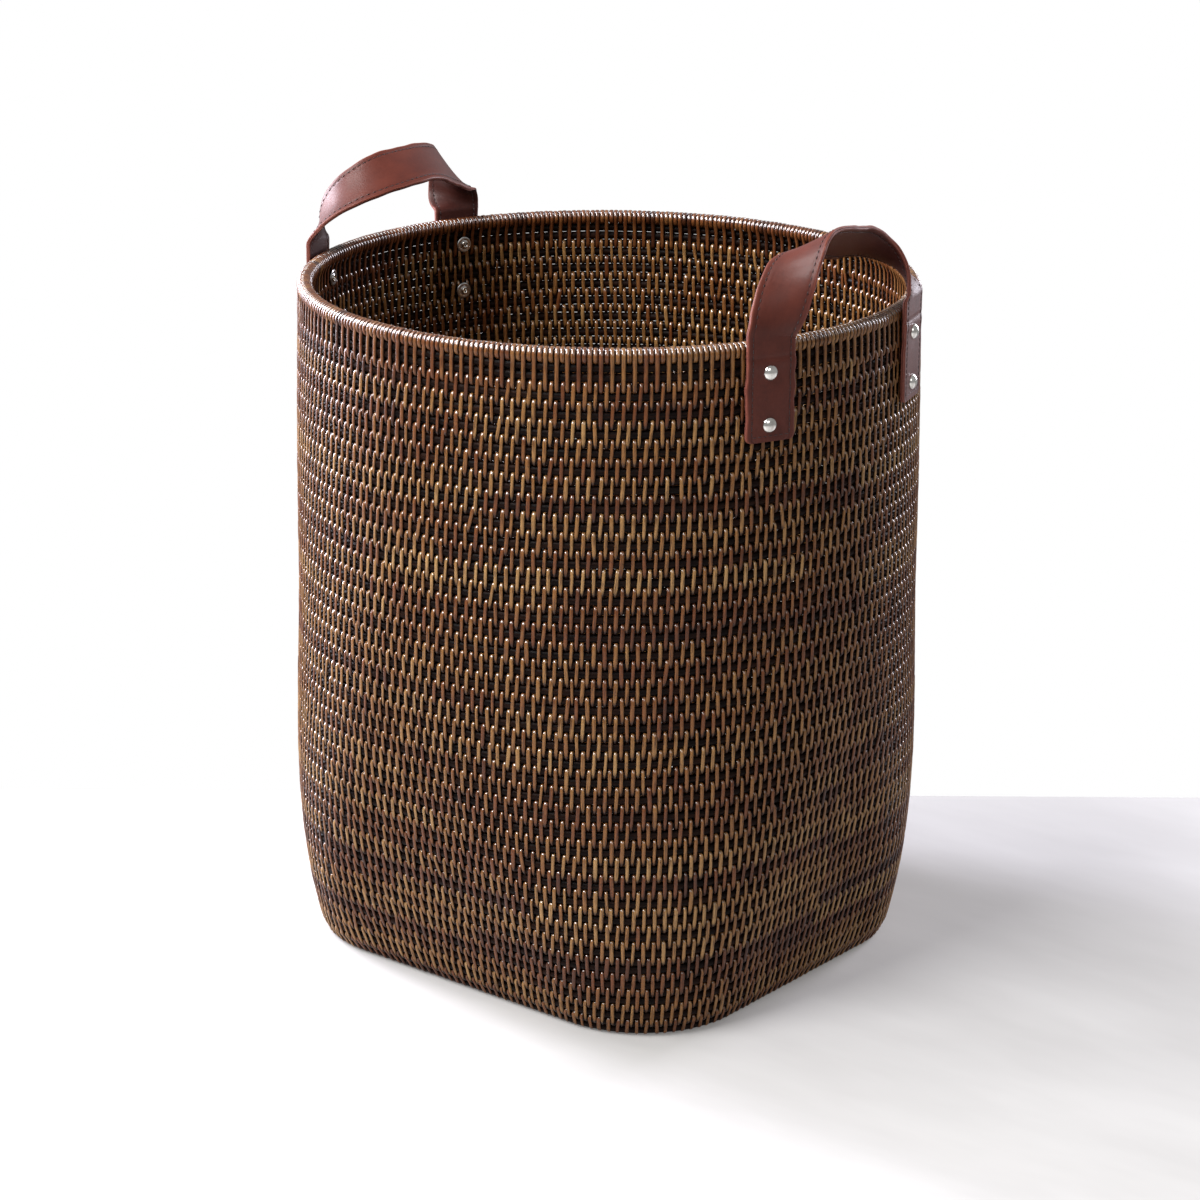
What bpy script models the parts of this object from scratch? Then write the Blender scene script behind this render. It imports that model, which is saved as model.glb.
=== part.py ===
"""Wicker log basket: a coiled rattan body on a rounded square base, with two riveted leather handles.

The basket stands on the floor at the origin, +Z up. Its handles sit on the +X and -X sides.
Sizes are in metres.
"""

import math

import bmesh
import bpy
from mathutils import Matrix, Vector

# ---- Body ----
HEIGHT = 0.500  # floor to the top of the rim
RIM_RADIUS = 0.222  # outside of the wall where it meets the rim
BELLY_RADIUS = 0.2255  # outside of the wall at its widest
BELLY_HEIGHT = 0.300  # where the wall is widest, and fully round
SIDE_SWELL = 1.95  # how fast the sides swell out above the base: 1 is steady, more is faster
BASE_HALF_DEPTH = 0.181  # base, centre to side, towards a handle
BASE_HALF_WIDTH = 0.164  # base, centre to side, between the handles
BASE_CORNER = 0.080  # corner radius of the base
WALL = 0.008  # thickness of the woven wall
RING_STEPS = 64  # facets around the body
WALL_LEVELS = 12  # rings of facets up the wall

# ---- Foot and base panel ----
FOOT_HEIGHT = 0.013  # lowest course, which binds the base to the wall
FOOT_WIDTH = 0.015
FOOT_ROUNDING = 0.009
BASE_LIFT = 0.003  # the panel hangs this far above the floor
BASE_THICKNESS = 0.008

# ---- Rim ----
RIM_CORE_RADIUS = 0.004
RIM_WRAP = 0.0015  # thickness of the cane wound over the core
RIM_OVERHANG = 0.001  # the wound rim stands this far outside the wall
RIM_SLOT = math.radians(72)  # the winding is open underneath, where the wall comes up

# ---- Handles ----
STRAP_WIDTH = 0.037
GRAIN_LAYER = 0.0017  # outer leather
LINING_LAYER = 0.0013  # inner leather
TAB_SPREAD = math.radians(20)  # each tab's angle round the rim from the handle's middle
TAB_DROP = 0.068  # rim top down to the end of a tab
TAB_CORNER = 0.004  # corner radius of a tab's free end
BEND_RISE = 0.0045  # the strap bends this far above the rim top
BEND_GAP = 0.0026  # room at the middle of the bend, so that the loop turns clear of its tabs
BEND_NOTCH = 0.0045  # both ends at the bend are cut back this much further at the strap's edges
CURL_RISE = 0.004  # from the bend to where the strap starts to curl
CURL_STEPS = 22
LOOP_EDGE_STEPS = 3

# ---- Rivets ----
RIVET_DROPS = (0.0205, 0.0565)  # rim top down to each rivet
CAP_RADIUS = 0.0050
CAP_HEIGHT = 0.0032
SHANK_RADIUS = 0.0020
SHANK_HOLLOW = 0.0011
CLENCH_RADIUS = 0.0028
CLENCH_HEIGHT = 0.0013
WASHER_RADIUS = 0.0060
WASHER_THICKNESS = 0.0012
RIVET_STEPS = 12

# ---- Clearances ----
GAP = 0.0003  # between pieces that touch
SHANK_GAP = 0.0003  # round a rivet's shank
WASHER_GAP = 0.0009  # flat washer to the curved inside of the wall

# Each handle: the side it is on, the run of each curl along the rim, and how far its outer
# face leans up from facing inwards at the top of the loop.
HANDLES = {
    "right": {"turn": math.radians(-3), "curl_run": 0.043, "lean": math.radians(70)},
    "left": {"turn": math.pi, "curl_run": 0.0425, "lean": math.radians(44)},
}

OUT = Vector((1, 0, 0))
ALONG = Vector((0, 1, 0))
UP = Vector((0, 0, 1))

# Derived sizes
RIM_OUTER = RIM_CORE_RADIUS + GAP + RIM_WRAP
RIM_RING_RADIUS = RIM_RADIUS + RIM_OVERHANG - RIM_OUTER
RIM_CENTRE = HEIGHT - RIM_OUTER
WALL_TOP = RIM_CENTRE - RIM_OUTER * math.cos(RIM_SLOT / 2) - GAP
WALL_BOTTOM = FOOT_HEIGHT + GAP
STRAP_THICKNESS = LINING_LAYER + GAP + GRAIN_LAYER


def clear_scene():
    """Removes every object that the file starts with."""
    for item in list(bpy.data.objects):
        bpy.data.objects.remove(item)


def make_material(name, color, roughness, metallic=0.0):
    """A Principled material with one colour."""
    material = bpy.data.materials.new(name)
    material.use_nodes = True
    shader = material.node_tree.nodes["Principled BSDF"]
    shader.inputs["Base Color"].default_value = (*color, 1.0)
    shader.inputs["Roughness"].default_value = roughness
    shader.inputs["Metallic"].default_value = metallic
    return material


def add_object(name, mesh_data, material, parent=None, smooth=True):
    """Links a finished bmesh to the scene as a named, shaded object."""
    if mesh_data.calc_volume(signed=True) < 0:
        bmesh.ops.reverse_faces(mesh_data, faces=mesh_data.faces)
    mesh = bpy.data.meshes.new(name)
    mesh_data.to_mesh(mesh)
    mesh_data.free()
    if smooth:
        mesh.shade_smooth()
        mesh.set_sharp_from_angle(angle=math.radians(40))
    mesh.materials.append(material)
    item = bpy.data.objects.new(name, mesh)
    item.parent = parent
    bpy.context.scene.collection.objects.link(item)
    return item


def add_empty(name, location=(0, 0, 0), turn=0.0, parent=None):
    """An empty that carries other pieces."""
    item = bpy.data.objects.new(name, None)
    item.location = location
    item.rotation_euler = (0, 0, turn)
    item.parent = parent
    item.empty_display_size = 0.03
    bpy.context.scene.collection.objects.link(item)
    return item


def loft(rings, closed_path):
    """Joins rings of points into a closed skin. An open path gets a cap at each end."""
    built = bmesh.new()
    loops = [[built.verts.new(point) for point in ring] for ring in rings]
    pairs = list(zip(loops, loops[1:]))
    if closed_path:
        pairs.append((loops[-1], loops[0]))
    for first, second in pairs:
        count = len(first)
        for i in range(count):
            j = (i + 1) % count
            built.faces.new((first[i], first[j], second[j], second[i]))
    if not closed_path:
        built.faces.new(reversed(loops[0]))
        built.faces.new(loops[-1])
    return built


# ---- Shape of the body ----


def wall_radius(height):
    """Outside radius of the wall where it is round."""
    rise = (height - BELLY_HEIGHT) / (HEIGHT - BELLY_HEIGHT)
    return BELLY_RADIUS - (BELLY_RADIUS - RIM_RADIUS) * rise * rise if rise > 0 else BELLY_RADIUS


def roundness(height):
    """How far the corners have gone from the base's rounding (0) to a circle (1)."""
    share = min(1.0, max(0.0, height / BELLY_HEIGHT))
    return share + share**2 - share**3


def fullness(height):
    """How far the sides have swelled from the base's size (0) to the belly's (1)."""
    share = min(1.0, max(0.0, height / BELLY_HEIGHT))
    return 1 - (1 - share) ** SIDE_SWELL


def outline(height, inset, angle):
    """The point at an angle on the body's outline, moved in by inset."""
    swell = fullness(height)
    radius = wall_radius(height)
    half_depth = BASE_HALF_DEPTH + (radius - BASE_HALF_DEPTH) * swell - inset
    half_width = BASE_HALF_WIDTH + (radius - BASE_HALF_WIDTH) * swell - inset
    corner = BASE_CORNER + (radius - BASE_CORNER) * roundness(height) - inset
    corner = min(corner, half_width, half_depth)
    run_x, run_y = abs(math.cos(angle)), abs(math.sin(angle))
    flat_x, flat_y = half_depth - corner, half_width - corner
    if run_y * half_depth <= flat_y * run_x:
        reach = half_depth / run_x
    elif run_x * half_width <= flat_x * run_y:
        reach = half_width / run_y
    else:
        middle = flat_x * run_x + flat_y * run_y
        reach = middle + math.sqrt(max(0.0, middle**2 - flat_x**2 - flat_y**2 + corner**2))
    return Vector((reach * math.cos(angle), reach * math.sin(angle), height))


def ring_angles():
    """Angles of the facets round the body."""
    return [2 * math.pi * step / RING_STEPS for step in range(RING_STEPS)]


def make_side_wall(material):
    """The woven wall: a tapering shell from the foot to the rim."""
    levels = [
        WALL_BOTTOM + (WALL_TOP - WALL_BOTTOM) * (step / WALL_LEVELS) ** 1.25
        for step in range(WALL_LEVELS + 1)
    ]
    rings = []
    for angle in ring_angles():
        outer = [outline(level, 0.0, angle) for level in levels]
        inner = [outline(level, WALL, angle) for level in reversed(levels)]
        rings.append(outer + inner)
    return add_object("side_wall", loft(rings, closed_path=True), material)


def make_foot(material):
    """The lowest course: a ring with a rounded outer edge and a flat underside."""
    arc_steps = 4
    rings = []
    for angle in ring_angles():
        profile = []
        for step in range(arc_steps + 1):
            turn = math.pi / 2 * step / arc_steps
            inset = FOOT_ROUNDING * (1 - math.sin(turn))
            height = FOOT_ROUNDING * (1 - math.cos(turn))
            edge = outline(height, inset, angle)
            profile.append(edge)
        profile.append(outline(FOOT_HEIGHT, 0.0, angle))
        inner_top = outline(FOOT_HEIGHT, FOOT_WIDTH, angle)
        profile.append(inner_top)
        profile.append(Vector((inner_top.x, inner_top.y, 0.0)))
        rings.append(profile)
    return add_object("foot_course", loft(rings, closed_path=True), material)


def make_base(material):
    """The woven base panel, inside the foot."""
    rings = []
    for height in (BASE_LIFT, BASE_LIFT + BASE_THICKNESS):
        ring = []
        for angle in ring_angles():
            edge = outline(FOOT_HEIGHT, FOOT_WIDTH + GAP, angle)
            ring.append(Vector((edge.x, edge.y, height)))
        rings.append(ring)
    return add_object("base_panel", loft(rings, closed_path=False), material)


def make_rim_core(material):
    """The rod inside the rim."""
    sides = 8
    rings = []
    for angle in ring_angles():
        outwards = Vector((math.cos(angle), math.sin(angle), 0))
        ring = []
        for side in range(sides):
            turn = 2 * math.pi * side / sides
            offset = outwards * math.cos(turn) + UP * math.sin(turn)
            centre = outwards * RIM_RING_RADIUS + UP * RIM_CENTRE
            ring.append(centre + offset * RIM_CORE_RADIUS)
        rings.append(ring)
    return add_object("rim_core", loft(rings, closed_path=True), material)


def make_rim_wrap(material):
    """The cane wound over the rim rod, open underneath."""
    sides = 9
    start = -math.pi / 2 + RIM_SLOT / 2
    sweep = 2 * math.pi - RIM_SLOT
    rings = []
    for angle in ring_angles():
        outwards = Vector((math.cos(angle), math.sin(angle), 0))
        centre = outwards * RIM_RING_RADIUS + UP * RIM_CENTRE
        outer, inner = [], []
        for side in range(sides + 1):
            turn = start + sweep * side / sides
            offset = outwards * math.cos(turn) + UP * math.sin(turn)
            outer.append(centre + offset * RIM_OUTER)
            inner.append(centre + offset * (RIM_CORE_RADIUS + GAP))
        rings.append(outer + inner[::-1])
    return add_object("rim_wrap", loft(rings, closed_path=True), material)


# ---- Path of a handle strap ----


def strap_face_distance():
    """Distance from the basket's axis to the face of a tab that lies on the wall."""
    steps = 12
    heights = [HEIGHT - TAB_DROP * step / steps for step in range(steps + 1)]
    widest = max(wall_radius(height) for height in heights)
    return max(widest, RIM_RADIUS + RIM_OVERHANG) + GAP


def tab_facing(side):
    """The way a tab faces; side is -1 at the start of the strap and +1 at its end."""
    return OUT * math.cos(TAB_SPREAD) + ALONG * side * math.sin(TAB_SPREAD)


def screw_move(start_frame, end_frame):
    """Axis and angle of the steady turn that takes one strap frame to another, over the top."""
    turn = (end_frame @ start_frame.inverted()).to_quaternion()
    axis, angle = turn.to_axis_angle()
    if axis.dot(UP + ALONG) > 0:
        return -axis, 2 * math.pi - angle
    return axis, angle


def frame_of(run, face):
    """A strap frame as a matrix with columns run, side and face."""
    side = run.cross(face)
    return Matrix((run, side, face)).transposed()


def half_strap(handle):
    """Stations (point, run, side, face) from the end of the first tab to the top of the loop."""
    outwards = tab_facing(-1)
    middle = strap_face_distance() + STRAP_THICKNESS / 2
    foot_of_strap = outwards * middle
    bend = HEIGHT + BEND_RISE
    curl_start = bend + CURL_RISE
    stations = []

    def add(point, run, face):
        stations.append((point.copy(), run.copy(), run.cross(face), face.copy()))

    tab_end = HEIGHT - TAB_DROP
    for height in (tab_end, tab_end + TAB_CORNER * 0.3, tab_end + TAB_CORNER, bend - BEND_GAP / 2):
        add(foot_of_strap + UP * height, UP, outwards)
    tab_count = len(stations)
    add(foot_of_strap + UP * (bend + BEND_GAP / 2), UP, outwards)

    # The strap turns to face straight out, then curls over the top in one steady screw.
    run_in = frame_of(UP, outwards)
    top_face = -OUT * math.cos(handle["lean"]) + UP * math.sin(handle["lean"])
    run_out = frame_of(ALONG, top_face)
    axis, angle = screw_move(run_in, run_out)
    cross_run = UP - axis * axis.dot(UP)
    step_per_length = axis * axis.dot(UP) + (
        cross_run * math.sin(angle) + axis.cross(UP) * (1 - math.cos(angle))
    ) / angle
    length = handle["curl_run"] / step_per_length.dot(ALONG)
    start = foot_of_strap + UP * curl_start
    for step in range(CURL_STEPS + 1):
        share = step / CURL_STEPS
        turned = angle * share
        travel = axis * axis.dot(UP) * share + (
            cross_run * math.sin(turned) + axis.cross(UP) * (1 - math.cos(turned))
        ) / angle
        turn = Matrix.Rotation(turned, 3, axis)
        add(start + travel * length, turn @ UP, turn @ outwards)
    top = stations[-1][0]
    for step in range(1, LOOP_EDGE_STEPS + 1):
        share = step / LOOP_EDGE_STEPS
        add(Vector((top.x, top.y * (1 - share), top.z)), ALONG, top_face)
    return stations, tab_count


def whole_strap(handle):
    """Stations of the first tab, the loop and the second tab."""
    half, tab_count = half_strap(handle)
    mirror = Matrix.Diagonal((1, -1, 1))
    back = [
        (mirror @ point, -(mirror @ run), mirror @ side, mirror @ face)
        for point, run, side, face in reversed(half[:-1])
    ]
    loop = half[tab_count:] + back[: len(back) - tab_count]
    return half[:tab_count], loop, back[len(back) - tab_count:]


def station_width(from_end):
    """Half the strap's width at a station, counted from a tab's free end, which has rounded corners."""
    if from_end == 0:
        return STRAP_WIDTH / 2 - TAB_CORNER
    if from_end == 1:
        return STRAP_WIDTH / 2 - TAB_CORNER * 0.28
    return STRAP_WIDTH / 2


def strap_skin(rings):
    """A closed skin over rings whose first half is one face of a strap and second half the other.

    Both faces are split along the same diagonals, so that two layers that twist together stay apart.
    """
    built = bmesh.new()
    loops = [[built.verts.new(point) for point in ring] for ring in rings]
    count = len(loops[0])
    for first, second in zip(loops, loops[1:]):
        for i in range(count):
            j = (i + 1) % count
            if i < count // 2:
                built.faces.new((first[i], first[j], second[j]))
                built.faces.new((first[i], second[j], second[i]))
            else:
                built.faces.new((first[i], first[j], second[i]))
                built.faces.new((first[j], second[j], second[i]))
    built.faces.new(reversed(loops[0]))
    built.faces.new(loops[-1])
    return built


def ribbon(stations, low, high, widths, notches, origin):
    """A strap layer between two distances from the strap's middle, as a closed skin."""
    rings = []
    for (point, run, side, face), half_width, notch in zip(stations, widths, notches):
        centre = point - origin
        near_edge = centre + side * half_width + run * notch
        far_edge = centre - side * half_width + run * notch
        top = [spot + face * high for spot in (near_edge, centre, far_edge)]
        bottom = [spot + face * low for spot in (far_edge, centre, near_edge)]
        rings.append(top + bottom)
    return strap_skin(rings)


def make_handle(name, handle, materials, carrier):
    """The two tabs and the loop of one handle, each in two layers of leather."""
    first_tab, loop, last_tab = whole_strap(handle)
    hinge_x = first_tab[-1][0].x
    hinge = add_empty(f"{name}_hinge", (hinge_x, 0, HEIGHT + BEND_RISE), parent=carrier)
    half = STRAP_THICKNESS / 2
    layers = (
        ("leather", half - GRAIN_LAYER, half, materials["leather"]),
        ("lining", -half, -half + LINING_LAYER, materials["lining"]),
    )
    count = len(first_tab)
    tab_widths = [station_width(i) for i in range(count)]
    tab_notches = [0.0] * (count - 1) + [-BEND_NOTCH]
    tabs = {
        "front": (first_tab, tab_widths, tab_notches),
        "rear": (last_tab, tab_widths[::-1], [-notch for notch in reversed(tab_notches)]),
    }
    loop_widths = [STRAP_WIDTH / 2] * len(loop)
    loop_notches = [BEND_NOTCH] + [0.0] * (len(loop) - 2) + [-BEND_NOTCH]
    made = {}
    for layer, low, high, material in layers:
        for place, (stations, widths, notches) in tabs.items():
            skin = ribbon(stations, low, high, widths, notches, Vector((0, 0, 0)))
            made[place, layer] = add_object(f"{name}_{place}_tab_{layer}", skin, material, carrier)
        skin = ribbon(loop, low, high, loop_widths, loop_notches, hinge.location)
        add_object(f"{name}_loop_{layer}", skin, material, hinge)
    return made


# ---- Rivets ----


def revolve(profile, steps):
    """A closed skin from a profile of (radius, distance) pairs that starts and ends on the axis."""
    built = bmesh.new()
    rings = []
    for radius, distance in profile:
        if radius == 0:
            rings.append([built.verts.new((0, 0, distance))])
            continue
        rings.append([
            built.verts.new((
                radius * math.cos(2 * math.pi * step / steps),
                radius * math.sin(2 * math.pi * step / steps),
                distance,
            ))
            for step in range(steps)
        ])
    for first, second in zip(rings, rings[1:]):
        for i in range(steps):
            j = (i + 1) % steps
            near = (first[i % len(first)], first[j % len(first)])
            far = (second[j % len(second)], second[i % len(second)])
            built.faces.new(list(dict.fromkeys(near + far)))
    return built


def washer_skin():
    """A dished washer with a hole for the shank, as a closed ring."""
    hole = SHANK_RADIUS + SHANK_GAP
    profile = (
        (hole, 0.0),
        (WASHER_RADIUS, 0.0),
        (WASHER_RADIUS, WASHER_THICKNESS * 0.5),
        (WASHER_RADIUS * 0.72, WASHER_THICKNESS),
        (hole, WASHER_THICKNESS),
    )
    rings = []
    for step in range(RIVET_STEPS):
        turn = 2 * math.pi * step / RIVET_STEPS
        rings.append([Vector((r * math.cos(turn), r * math.sin(turn), d)) for r, d in profile])
    return loft(rings, closed_path=True)


def rivet_skin(grip, washer_face):
    """Domed cap, shank and clenched hollow end. Distances run outwards from the wall's inside face."""
    dome_steps = 4
    seat = grip + GAP
    clench_top = washer_face - GAP
    profile = [(0.0, seat + CAP_HEIGHT)]
    for step in range(1, dome_steps + 1):
        turn = math.pi / 2 * step / dome_steps
        profile.append((CAP_RADIUS * math.sin(turn), seat + CAP_HEIGHT * math.cos(turn)))
    profile += [
        (SHANK_RADIUS, seat),
        (SHANK_RADIUS, clench_top),
        (CLENCH_RADIUS, clench_top),
        (CLENCH_RADIUS, clench_top - CLENCH_HEIGHT * 0.5),
        (CLENCH_RADIUS * 0.72, clench_top - CLENCH_HEIGHT),
        (SHANK_HOLLOW, clench_top - CLENCH_HEIGHT * 0.7),
        (SHANK_HOLLOW, clench_top + CLENCH_HEIGHT),
        (0.0, clench_top + CLENCH_HEIGHT),
    ]
    return revolve(profile, RIVET_STEPS)


def cut(item, cutter):
    """Cuts a cutter's shape out of an object."""
    modifier = item.modifiers.new(cutter.name, "BOOLEAN")
    modifier.operation = "DIFFERENCE"
    modifier.solver = "EXACT"
    modifier.object = cutter


def make_rivets(name, tabs, wall, materials, carrier):
    """Rivets and washers that clamp one handle's tabs to the wall, with their holes."""
    outer_face = strap_face_distance() + STRAP_THICKNESS
    number = 0
    for place, side in (("front", -1), ("rear", 1)):
        outwards = tab_facing(side)
        for drop in RIVET_DROPS:
            number += 1
            height = HEIGHT - drop
            inside_face = wall_radius(height) - WALL
            inside_point = outwards * inside_face + UP * height
            facing = outwards.to_track_quat("Z", "Y").to_matrix().to_4x4()
            aim = Matrix.Translation(inside_point) @ facing
            nickel = materials["nickel"]
            grip = outer_face - inside_face

            skin = rivet_skin(grip, -WASHER_GAP - WASHER_THICKNESS)
            rivet = add_object(f"{name}_rivet_{number}", skin, nickel, carrier)
            rivet.matrix_local = aim
            washer = add_object(f"{name}_washer_{number}", washer_skin(), nickel, carrier)
            turn_in = Matrix.Rotation(math.pi, 4, "X")
            washer.matrix_local = aim @ Matrix.Translation((0, 0, -WASHER_GAP)) @ turn_in

            hole = SHANK_RADIUS + SHANK_GAP
            length = grip + 2 * WALL
            hole_profile = ((0.0, length), (hole, length), (hole, 0.0), (0.0, 0.0))
            cutter_skin = revolve(hole_profile, RIVET_STEPS)
            cutter = add_object(f"{name}_hole_{number}", cutter_skin, nickel, carrier)
            cutter.matrix_local = aim @ Matrix.Translation((0, 0, -WALL))
            cutter.hide_render = True
            cutter.display_type = "WIRE"
            for item in (wall, tabs[place, "leather"], tabs[place, "lining"]):
                cut(item, cutter)


def main():
    """Builds the whole basket."""
    clear_scene()
    materials = {
        "weave": make_material("woven_rattan", (0.115, 0.060, 0.028), 0.45),
        "rod": make_material("rattan_rod", (0.035, 0.020, 0.013), 0.40),
        "cane": make_material("split_cane", (0.280, 0.150, 0.065), 0.42),
        "leather": make_material("grain_leather", (0.180, 0.055, 0.035), 0.42),
        "lining": make_material("lining_leather", (0.085, 0.028, 0.022), 0.50),
        "nickel": make_material("polished_nickel", (0.72, 0.70, 0.66), 0.16, 1.0),
    }
    wall = make_side_wall(materials["weave"])
    make_foot(materials["weave"])
    make_base(materials["weave"])
    make_rim_core(materials["rod"])
    make_rim_wrap(materials["cane"])
    for name, handle in HANDLES.items():
        carrier = add_empty(f"{name}_side", turn=handle["turn"])
        tabs = make_handle(name, handle, materials, carrier)
        make_rivets(name, tabs, wall, materials, carrier)


main()
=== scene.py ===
"""Looks of a coiled rattan log basket with two riveted leather handles.

Every rod, cane stitch, strap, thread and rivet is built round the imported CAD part. Sizes are in metres.
"""

import logging
import math
from dataclasses import dataclass, field
from enum import Enum

import bpy
import numpy as np
from mathutils import Matrix, Quaternion, Vector


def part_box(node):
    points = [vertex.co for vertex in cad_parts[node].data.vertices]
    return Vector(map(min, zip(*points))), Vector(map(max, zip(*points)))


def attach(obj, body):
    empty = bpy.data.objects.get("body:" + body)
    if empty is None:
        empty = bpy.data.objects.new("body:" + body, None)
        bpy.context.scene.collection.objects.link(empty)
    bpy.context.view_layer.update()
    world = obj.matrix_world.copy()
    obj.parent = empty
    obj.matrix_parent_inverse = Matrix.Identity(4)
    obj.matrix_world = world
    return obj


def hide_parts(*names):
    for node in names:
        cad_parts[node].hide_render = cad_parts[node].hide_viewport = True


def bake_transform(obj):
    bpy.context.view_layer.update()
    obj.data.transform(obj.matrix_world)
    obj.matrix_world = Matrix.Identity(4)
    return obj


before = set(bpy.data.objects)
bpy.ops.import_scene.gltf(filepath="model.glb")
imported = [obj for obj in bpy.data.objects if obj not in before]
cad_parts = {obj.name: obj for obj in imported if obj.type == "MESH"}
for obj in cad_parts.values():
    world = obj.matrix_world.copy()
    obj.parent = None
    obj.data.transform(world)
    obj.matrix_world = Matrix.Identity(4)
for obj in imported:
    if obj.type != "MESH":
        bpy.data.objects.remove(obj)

log = logging.getLogger("basket")

Array = np.ndarray
Material = bpy.types.Material
Piece = bpy.types.Object
Socket = bpy.types.NodeSocket
Triple = tuple[float, float, float]

UP = np.array([0.0, 0.0, 1.0])
GOLDEN_ANGLE = 2.399963
FLOOR_GAP = 0.0006  # cane under the foot stays this far above the floor


class Body(Enum):
    """The bodies of the CAD part that pieces ride on."""

    BASKET = "basket"
    RIGHT = "right_handle"
    LEFT = "left_handle"


class Slot(Enum):
    """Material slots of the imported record."""

    WEAVE = "weave"
    ROD = "rod"
    CANE = "cane"
    GRAIN = "grain_leather"
    LINING = "lining_leather"
    NICKEL = "nickel"


# ---- Mesh helpers ----


def tube_faces(rings: int, sides: int, closed: bool) -> Array:
    """Quads of one tube.

    Args:
        rings: Number of cross-sections.
        sides: Points in each cross-section.
        closed: Whether the last section joins the first.

    Returns:
        Vertex indices, one row of four a face.
    """
    spans = rings if closed else rings - 1
    ring, side = np.meshgrid(np.arange(spans), np.arange(sides), indexing="ij")
    after, beside = (ring + 1) % rings, (side + 1) % sides
    corners = [ring * sides + side, ring * sides + beside, after * sides + beside, after * sides + side]
    return np.stack(corners, axis=-1).reshape(-1, 4)


def many(faces: Array, count: int, points_each: int) -> Array:
    """Repeats one piece's faces.

    Args:
        faces: Faces of the first copy.
        count: Number of copies.
        points_each: Points in each copy.

    Returns:
        The faces of all copies.
    """
    return (faces[None] + (np.arange(count) * points_each)[:, None, None]).reshape(-1, faces.shape[1])


def facing_out(points: Array, faces: Array) -> Array:
    """Turns quads round where they enclose a negative volume.

    Args:
        points: All points.
        faces: Quads of one or more closed skins.

    Returns:
        The quads, facing outwards.
    """
    a, b, c, d = (points[faces[:, i]] for i in range(4))
    volume = np.einsum("ij,ij->", a, np.cross(b, c)) + np.einsum("ij,ij->", a, np.cross(c, d))
    return faces[:, ::-1] if volume < 0 else faces


def unit(vectors: Array) -> Array:
    """Vectors of length one."""
    return vectors / np.maximum(np.linalg.norm(vectors, axis=-1, keepdims=True), 1e-12)


def smooth_step(value: Array) -> Array:
    """Eases from 0 to 1."""
    clipped = np.clip(value, 0.0, 1.0)
    return clipped * clipped * (3 - 2 * clipped)


def add_mesh(
    name: str,
    points: Array,
    faces: Array,
    materials: list[Material],
    layers: dict[str, Array] | None = None,
    slots: Array | None = None,
) -> Piece:
    """Makes a smooth-shaded object from arrays.

    Args:
        name: The object's name.
        points: Points, one row each.
        faces: Quads as rows of point indices.
        materials: Materials in slot order.
        layers: Values for each point, by attribute name: one number or three each.
        slots: Material slot of each face.

    Returns:
        The linked object.
    """
    mesh = bpy.data.meshes.new(name)
    mesh.vertices.add(len(points))
    mesh.vertices.foreach_set("co", np.ascontiguousarray(points, np.float32).ravel())
    mesh.loops.add(faces.size)
    mesh.loops.foreach_set("vertex_index", np.ascontiguousarray(faces, np.int32).ravel())
    mesh.polygons.add(len(faces))
    mesh.polygons.foreach_set("loop_start", np.arange(len(faces), dtype=np.int32) * faces.shape[1])
    for material in materials:
        mesh.materials.append(material)
    if slots is not None:
        mesh.polygons.foreach_set("material_index", slots.astype(np.int32))
    mesh.update(calc_edges=True)
    mesh.validate()
    mesh.shade_smooth()
    for layer, values in (layers or {}).items():
        kind, key = ("FLOAT_VECTOR", "vector") if values.ndim == 2 else ("FLOAT", "value")
        attribute = mesh.attributes.new(layer, kind, "POINT")
        attribute.data.foreach_set(key, np.ascontiguousarray(values, np.float32).ravel())
    item = bpy.data.objects.new(name, mesh)
    bpy.context.scene.collection.objects.link(item)
    return item


def sweep(centres: Array, across: Array, outwards: Array, section: Array) -> Array:
    """Carries cross-sections along paths.

    Args:
        centres: Path points, (strands, stations, 3).
        across: Direction of each section's width.
        outwards: Direction of each section's thickness.
        section: Section points as (width, thickness), shaped to follow (strands, stations, sides, 2).

    Returns:
        Points, (strands, stations, sides, 3).
    """
    return (
        centres[:, :, None]
        + across[:, :, None] * section[..., 0:1]
        + outwards[:, :, None] * section[..., 1:2]
    )


# ---- Node trees ----


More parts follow.
